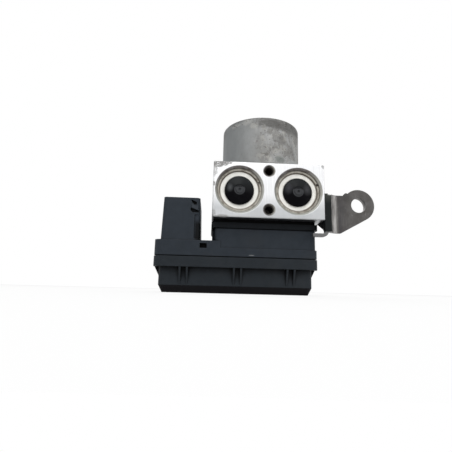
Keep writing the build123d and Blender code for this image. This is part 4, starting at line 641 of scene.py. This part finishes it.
def makeBracketMaterial(look):
    material, tree, shader, colour = makeFinish("bracketSteel", **look["finish"])
    place = splitPlace(tree)

    # painted highlight along the bend, and bare scratches all over
    streaks = useGroup(tree, stainGroup, look["streaks"])["Mask"]
    bendHighlight = multiply(tree, mapRange(tree, place["X"], *look["bendStart"]),
                      mapRange(tree, place["X"], *look["bendEnd"]),
                      mapRange(tree, streaks, *look["bendPatches"]))
    colour = mixColours(tree, bendHighlight, colour, look["bareAndHighlight"])
    scratches = useGroup(tree, stainGroup, look["scratches"])["Mask"]
    colour = mixColours(tree, multiply(tree, scratches, look["scratchDepth"]), colour, look["bareAndHighlight"])

    # darker beside the bend, with two smudges
    beside = multiply(tree, mapRange(tree, place["X"], *look["shadeStart"]),
                      mapRange(tree, place["X"], *look["shadeEnd"]),
                      mapRange(tree, streaks, *look["shadePatches"]))
    colour = mixColours(tree, beside, colour, look["shade"])
    for centre, radius, depth in look["smudgesAndSheen"]:
        mark = useGroup(tree, spotGroup, {"Centre": centre, "Radius": radius, **look["smudgeAndSheen"]})["Mask"]
        colour = mixColours(tree, multiply(tree, mark, depth), colour, look["smudgeColour"])

    # grey hook below, and painted shade above it that makes the leg dark, lighter towards its top, and
    # unmetallic
    leg = mapRange(tree, place["X"], *look["legAcross"])
    hook = mapRange(tree, place["Z"], *look["hookUp"])
    colour = mixColours(tree, multiply(tree, hook, leg), colour, look["hook"])
    leg = doMath(tree, "SUBTRACT", leg, hook, clamp=True)
    fade = mixColours(tree, mapRange(tree, place["Z"], *look["legUp"]), look["leg"], look["legAbove"])
    colour = mixColours(tree, leg, colour, fade)
    tree.links.new(colour, shader.inputs["Base Color"])
    metallic = mapRange(tree, leg, 0, 1, look["finish"]["metallic"], look["legMetallic"])
    tree.links.new(metallic, shader.inputs["Metallic"])
    return material


dress(makeBracketMaterial(bracketLook), "mounting_bracket")
print("bracket finished")

# The other pieces: rubber, plastics, metals and the board, each with the nodes that wear it
otherLooks = {
    "collarSteel": (["bracket_collar"], {
        "colour": (0.20, 0.19, 0.18), "stain": (0.12, 0.105, 0.09), "worn": (0.4, 0.39, 0.37),
        "metallic": 0.85, "rough": (0.3, 0.45), "stretch": (1, 0.15, 1), "stainScale": 120.0}),
    # the gasket's crevice settings paint deep shade under the block
    "gasketRubber": (["block_gasket"], {
        "colour": (0.006, 0.005, 0.006), "stain": (0.010, 0.009, 0.009), "worn": (0.014, 0.014, 0.014),
        "level": 0.06, "rough": (0.6, 0.75), "reach": 0.009, "creviceShade": 0.9}),
    "sealRubber": (["pump_plug_seals", "pump_guide_seals", "cover_seal", "motor_seal",
                    "reservoir_seal_left", "reservoir_seal_right"], {
        "colour": (0.012, 0.012, 0.012), "stain": (0.02, 0.02, 0.02), "worn": (0.03, 0.03, 0.03),
        "level": 0.4, "rough": (0.45, 0.6)}),
    "innerPlastic": (["motor_lead", "brush_plate"], {
        "colour": (0.020, 0.020, 0.022), "stain": (0.03, 0.03, 0.03), "worn": (0.05, 0.05, 0.05),
        "level": 0.45}),
    "zincSteel": (["pump_plugs", "valve_bodies", "ecu_screws", "motor_screws", "bracket_bolts"], {
        "colour": (0.50, 0.50, 0.49), "stain": (0.40, 0.38, 0.33), "worn": (0.66, 0.66, 0.65),
        "metallic": 1.0, "rough": (0.28, 0.42), "stainScale": 150.0, "edge": 0.0003}),
    "springSteel": (["brush_springs", "valve_springs", "reservoir_spring_left", "reservoir_spring_right",
                     "pump_spring_left", "pump_spring_right"], {
        "colour": (0.42, 0.42, 0.42), "stain": (0.32, 0.31, 0.29), "worn": (0.58, 0.58, 0.58),
        "metallic": 1.0, "rough": (0.25, 0.35), "edge": 0.0001}),
    "groundSteel": (["valve_domes", "bearing_outer_ring", "bearing_inner_ring", "bearing_balls",
                     "motor_shaft", "eccentric_ring", "pump_piston_left", "pump_piston_right"], {
        "colour": (0.56, 0.56, 0.57), "stain": (0.48, 0.48, 0.48), "worn": (0.68, 0.68, 0.68),
        "metallic": 1.0, "rough": (0.18, 0.28), "stretch": (1, 1, 8), "edge": 0.0002}),
    "magneticSteel": (["coil_cups", "armature_core", *[f"inlet_plunger_{i}" for i in range(1, 5)],
                       *[f"outlet_plunger_{i}" for i in range(1, 5)]], {
        "colour": (0.30, 0.30, 0.30), "stain": (0.22, 0.21, 0.19), "worn": (0.45, 0.45, 0.45),
        "metallic": 0.9, "edge": 0.0003}),
    "turnedAluminium": (["reservoir_piston_left", "reservoir_piston_right"], {
        "colour": (0.70, 0.70, 0.71), "stain": (0.60, 0.60, 0.60), "worn": (0.82, 0.82, 0.82),
        "metallic": 1.0, "rough": (0.25, 0.35), "stretch": (1, 8, 1)}),
    "copperWire": (["solenoid_coils", "armature_windings"], {
        "colour": (0.50, 0.20, 0.08), "stain": (0.36, 0.13, 0.05), "worn": (0.66, 0.32, 0.16),
        "metallic": 0.9, "rough": (0.28, 0.4), "fine": 1500.0, "stretch": (1, 1, 9), "bump": 0.6}),
    "copperBars": (["commutator"], {
        "colour": (0.62, 0.28, 0.13), "stain": (0.42, 0.18, 0.08), "worn": (0.78, 0.42, 0.24),
        "metallic": 1.0, "rough": (0.22, 0.34), "edge": 0.0003}),
    "tinnedBrass": (["coil_pins", "connector_pins"], {
        "colour": (0.66, 0.62, 0.50), "stain": (0.52, 0.46, 0.34), "worn": (0.78, 0.74, 0.64),
        "metallic": 1.0, "rough": (0.22, 0.34), "edge": 0.0002}),
    "sinteredBronze": (["foot_bush", "rear_bush"], {
        "colour": (0.46, 0.28, 0.12), "stain": (0.34, 0.20, 0.09), "worn": (0.62, 0.42, 0.22),
        "metallic": 0.95, "fine": 1400.0}),
    "ferrite": (["motor_magnets"], {
        "colour": (0.045, 0.045, 0.047), "stain": (0.07, 0.068, 0.065), "worn": (0.11, 0.11, 0.11),
        "metallic": 0.2, "rough": (0.5, 0.65)}),
    "carbonBlock": (["brushes"], {
        "colour": (0.025, 0.025, 0.026), "stain": (0.04, 0.04, 0.04), "worn": (0.09, 0.09, 0.09),
        "metallic": 0.1, "rough": (0.35, 0.5)}),
    "boardGreen": (["circuit_board"], {
        "colour": (0.012, 0.085, 0.035), "stain": (0.02, 0.11, 0.05), "worn": (0.25, 0.22, 0.12),
        "rough": (0.22, 0.35), "stainScale": 320.0, "stainFull": 0.53}),
    "componentBlack": (["board_components"], {
        "colour": (0.014, 0.014, 0.015), "stain": (0.022, 0.022, 0.023), "worn": (0.05, 0.05, 0.05),
        "level": 0.45}),
}
for name, (wearers, finish) in otherLooks.items():
    dress(makeFinish(name, **finish)[0], *wearers)
print("other pieces finished")

# Floor, lamps and world
stageLook = {
    "floorSize": 12.0, "floorColour": (0.80, 0.80, 0.80), "floorShade": 0.98, "floorCloud": 3.0,
    "floorMottle": (0.3, 0.7), "floorRough": 0.9, "floorLevel": 0.1,
    "background": 0.8, "worldLight": 0.56, "aim": (0, 0, 0.08),
    # each lamp: name, place, size, power in watts
    "lamps": [
        ("keyLamp", (-0.15, -1.00, 1.30), 0.9, 13.5),
        ("fillLamp", (0.95, -0.85, 0.55), 0.8, 2.6),
        ("backLamp", (0.1, 1.1, 1.1), 0.9, 7.5),
    ],
}


def seenDirectly(tree):
    path = tree.nodes.new("ShaderNodeLightPath").outputs
    most = doMath(tree, "MAXIMUM", path["Is Camera Ray"], path["Is Glossy Ray"])
    return doMath(tree, "MAXIMUM", most, path["Is Transmission Ray"])


def makeFloor(look):
    material = bpy.data.materials.new("paleFloor")
    material.use_nodes = True
    tree = material.node_tree
    shader = tree.nodes["Principled BSDF"]
    cloud = mapRange(tree, noise(tree, objectPlace(tree), look["floorCloud"]), *look["floorMottle"])
    darker = tuple(part * look["floorShade"] for part in look["floorColour"])
    tree.links.new(mixColours(tree, cloud, look["floorColour"], darker), shader.inputs["Base Color"])
    shader.inputs["Roughness"].default_value = look["floorRough"]
    shader.inputs["Specular IOR Level"].default_value = look["floorLevel"]
    glow = addNode(tree, "ShaderNodeEmission", {"Color": (1, 1, 1, 1), "Strength": 1.0})
    share = multiply(tree, seenDirectly(tree), look["background"])
    mix = addNode(tree, "ShaderNodeMixShader", {0: share, 1: shader.outputs[0], 2: glow.outputs[0]})
    tree.links.new(mix.outputs[0], tree.nodes["Material Output"].inputs["Surface"])

    shape = bmesh.new()
    bmesh.ops.create_grid(shape, x_segments=1, y_segments=1, size=look["floorSize"] / 2)
    mesh = bpy.data.meshes.new("floor")
    shape.to_mesh(mesh)
    shape.free()
    mesh.materials.append(material)
    floor = bpy.data.objects.new("floor", mesh)
    bpy.context.scene.collection.objects.link(floor)


def makeLamps(look):
    for name, spot, size, power in look["lamps"]:
        data = bpy.data.lights.new(name, "AREA")
        data.size = size
        data.energy = power
        lamp = bpy.data.objects.new(name, data)
        turn = (Vector(look["aim"]) - Vector(spot)).to_track_quat("-Z", "Y").to_matrix().to_4x4()
        lamp.matrix_world = Matrix.Translation(spot) @ turn
        bpy.context.scene.collection.objects.link(lamp)


# The world is white where it is seen or mirrored, and dimmer as a light
def makeWorld(look):
    world = bpy.data.worlds.new("plainWorld")
    world.use_nodes = True
    tree = world.node_tree
    sky = tree.nodes["Background"]
    sky.inputs["Color"].default_value = (1, 1, 1, 1)
    strength = mapRange(tree, seenDirectly(tree), 0, 1, look["worldLight"], 1.0)
    tree.links.new(strength, sky.inputs["Strength"])
    bpy.context.scene.world = world
    bpy.context.scene.view_settings.view_transform = "Standard"


makeFloor(stageLook)
makeLamps(stageLook)
makeWorld(stageLook)
print("stage set")
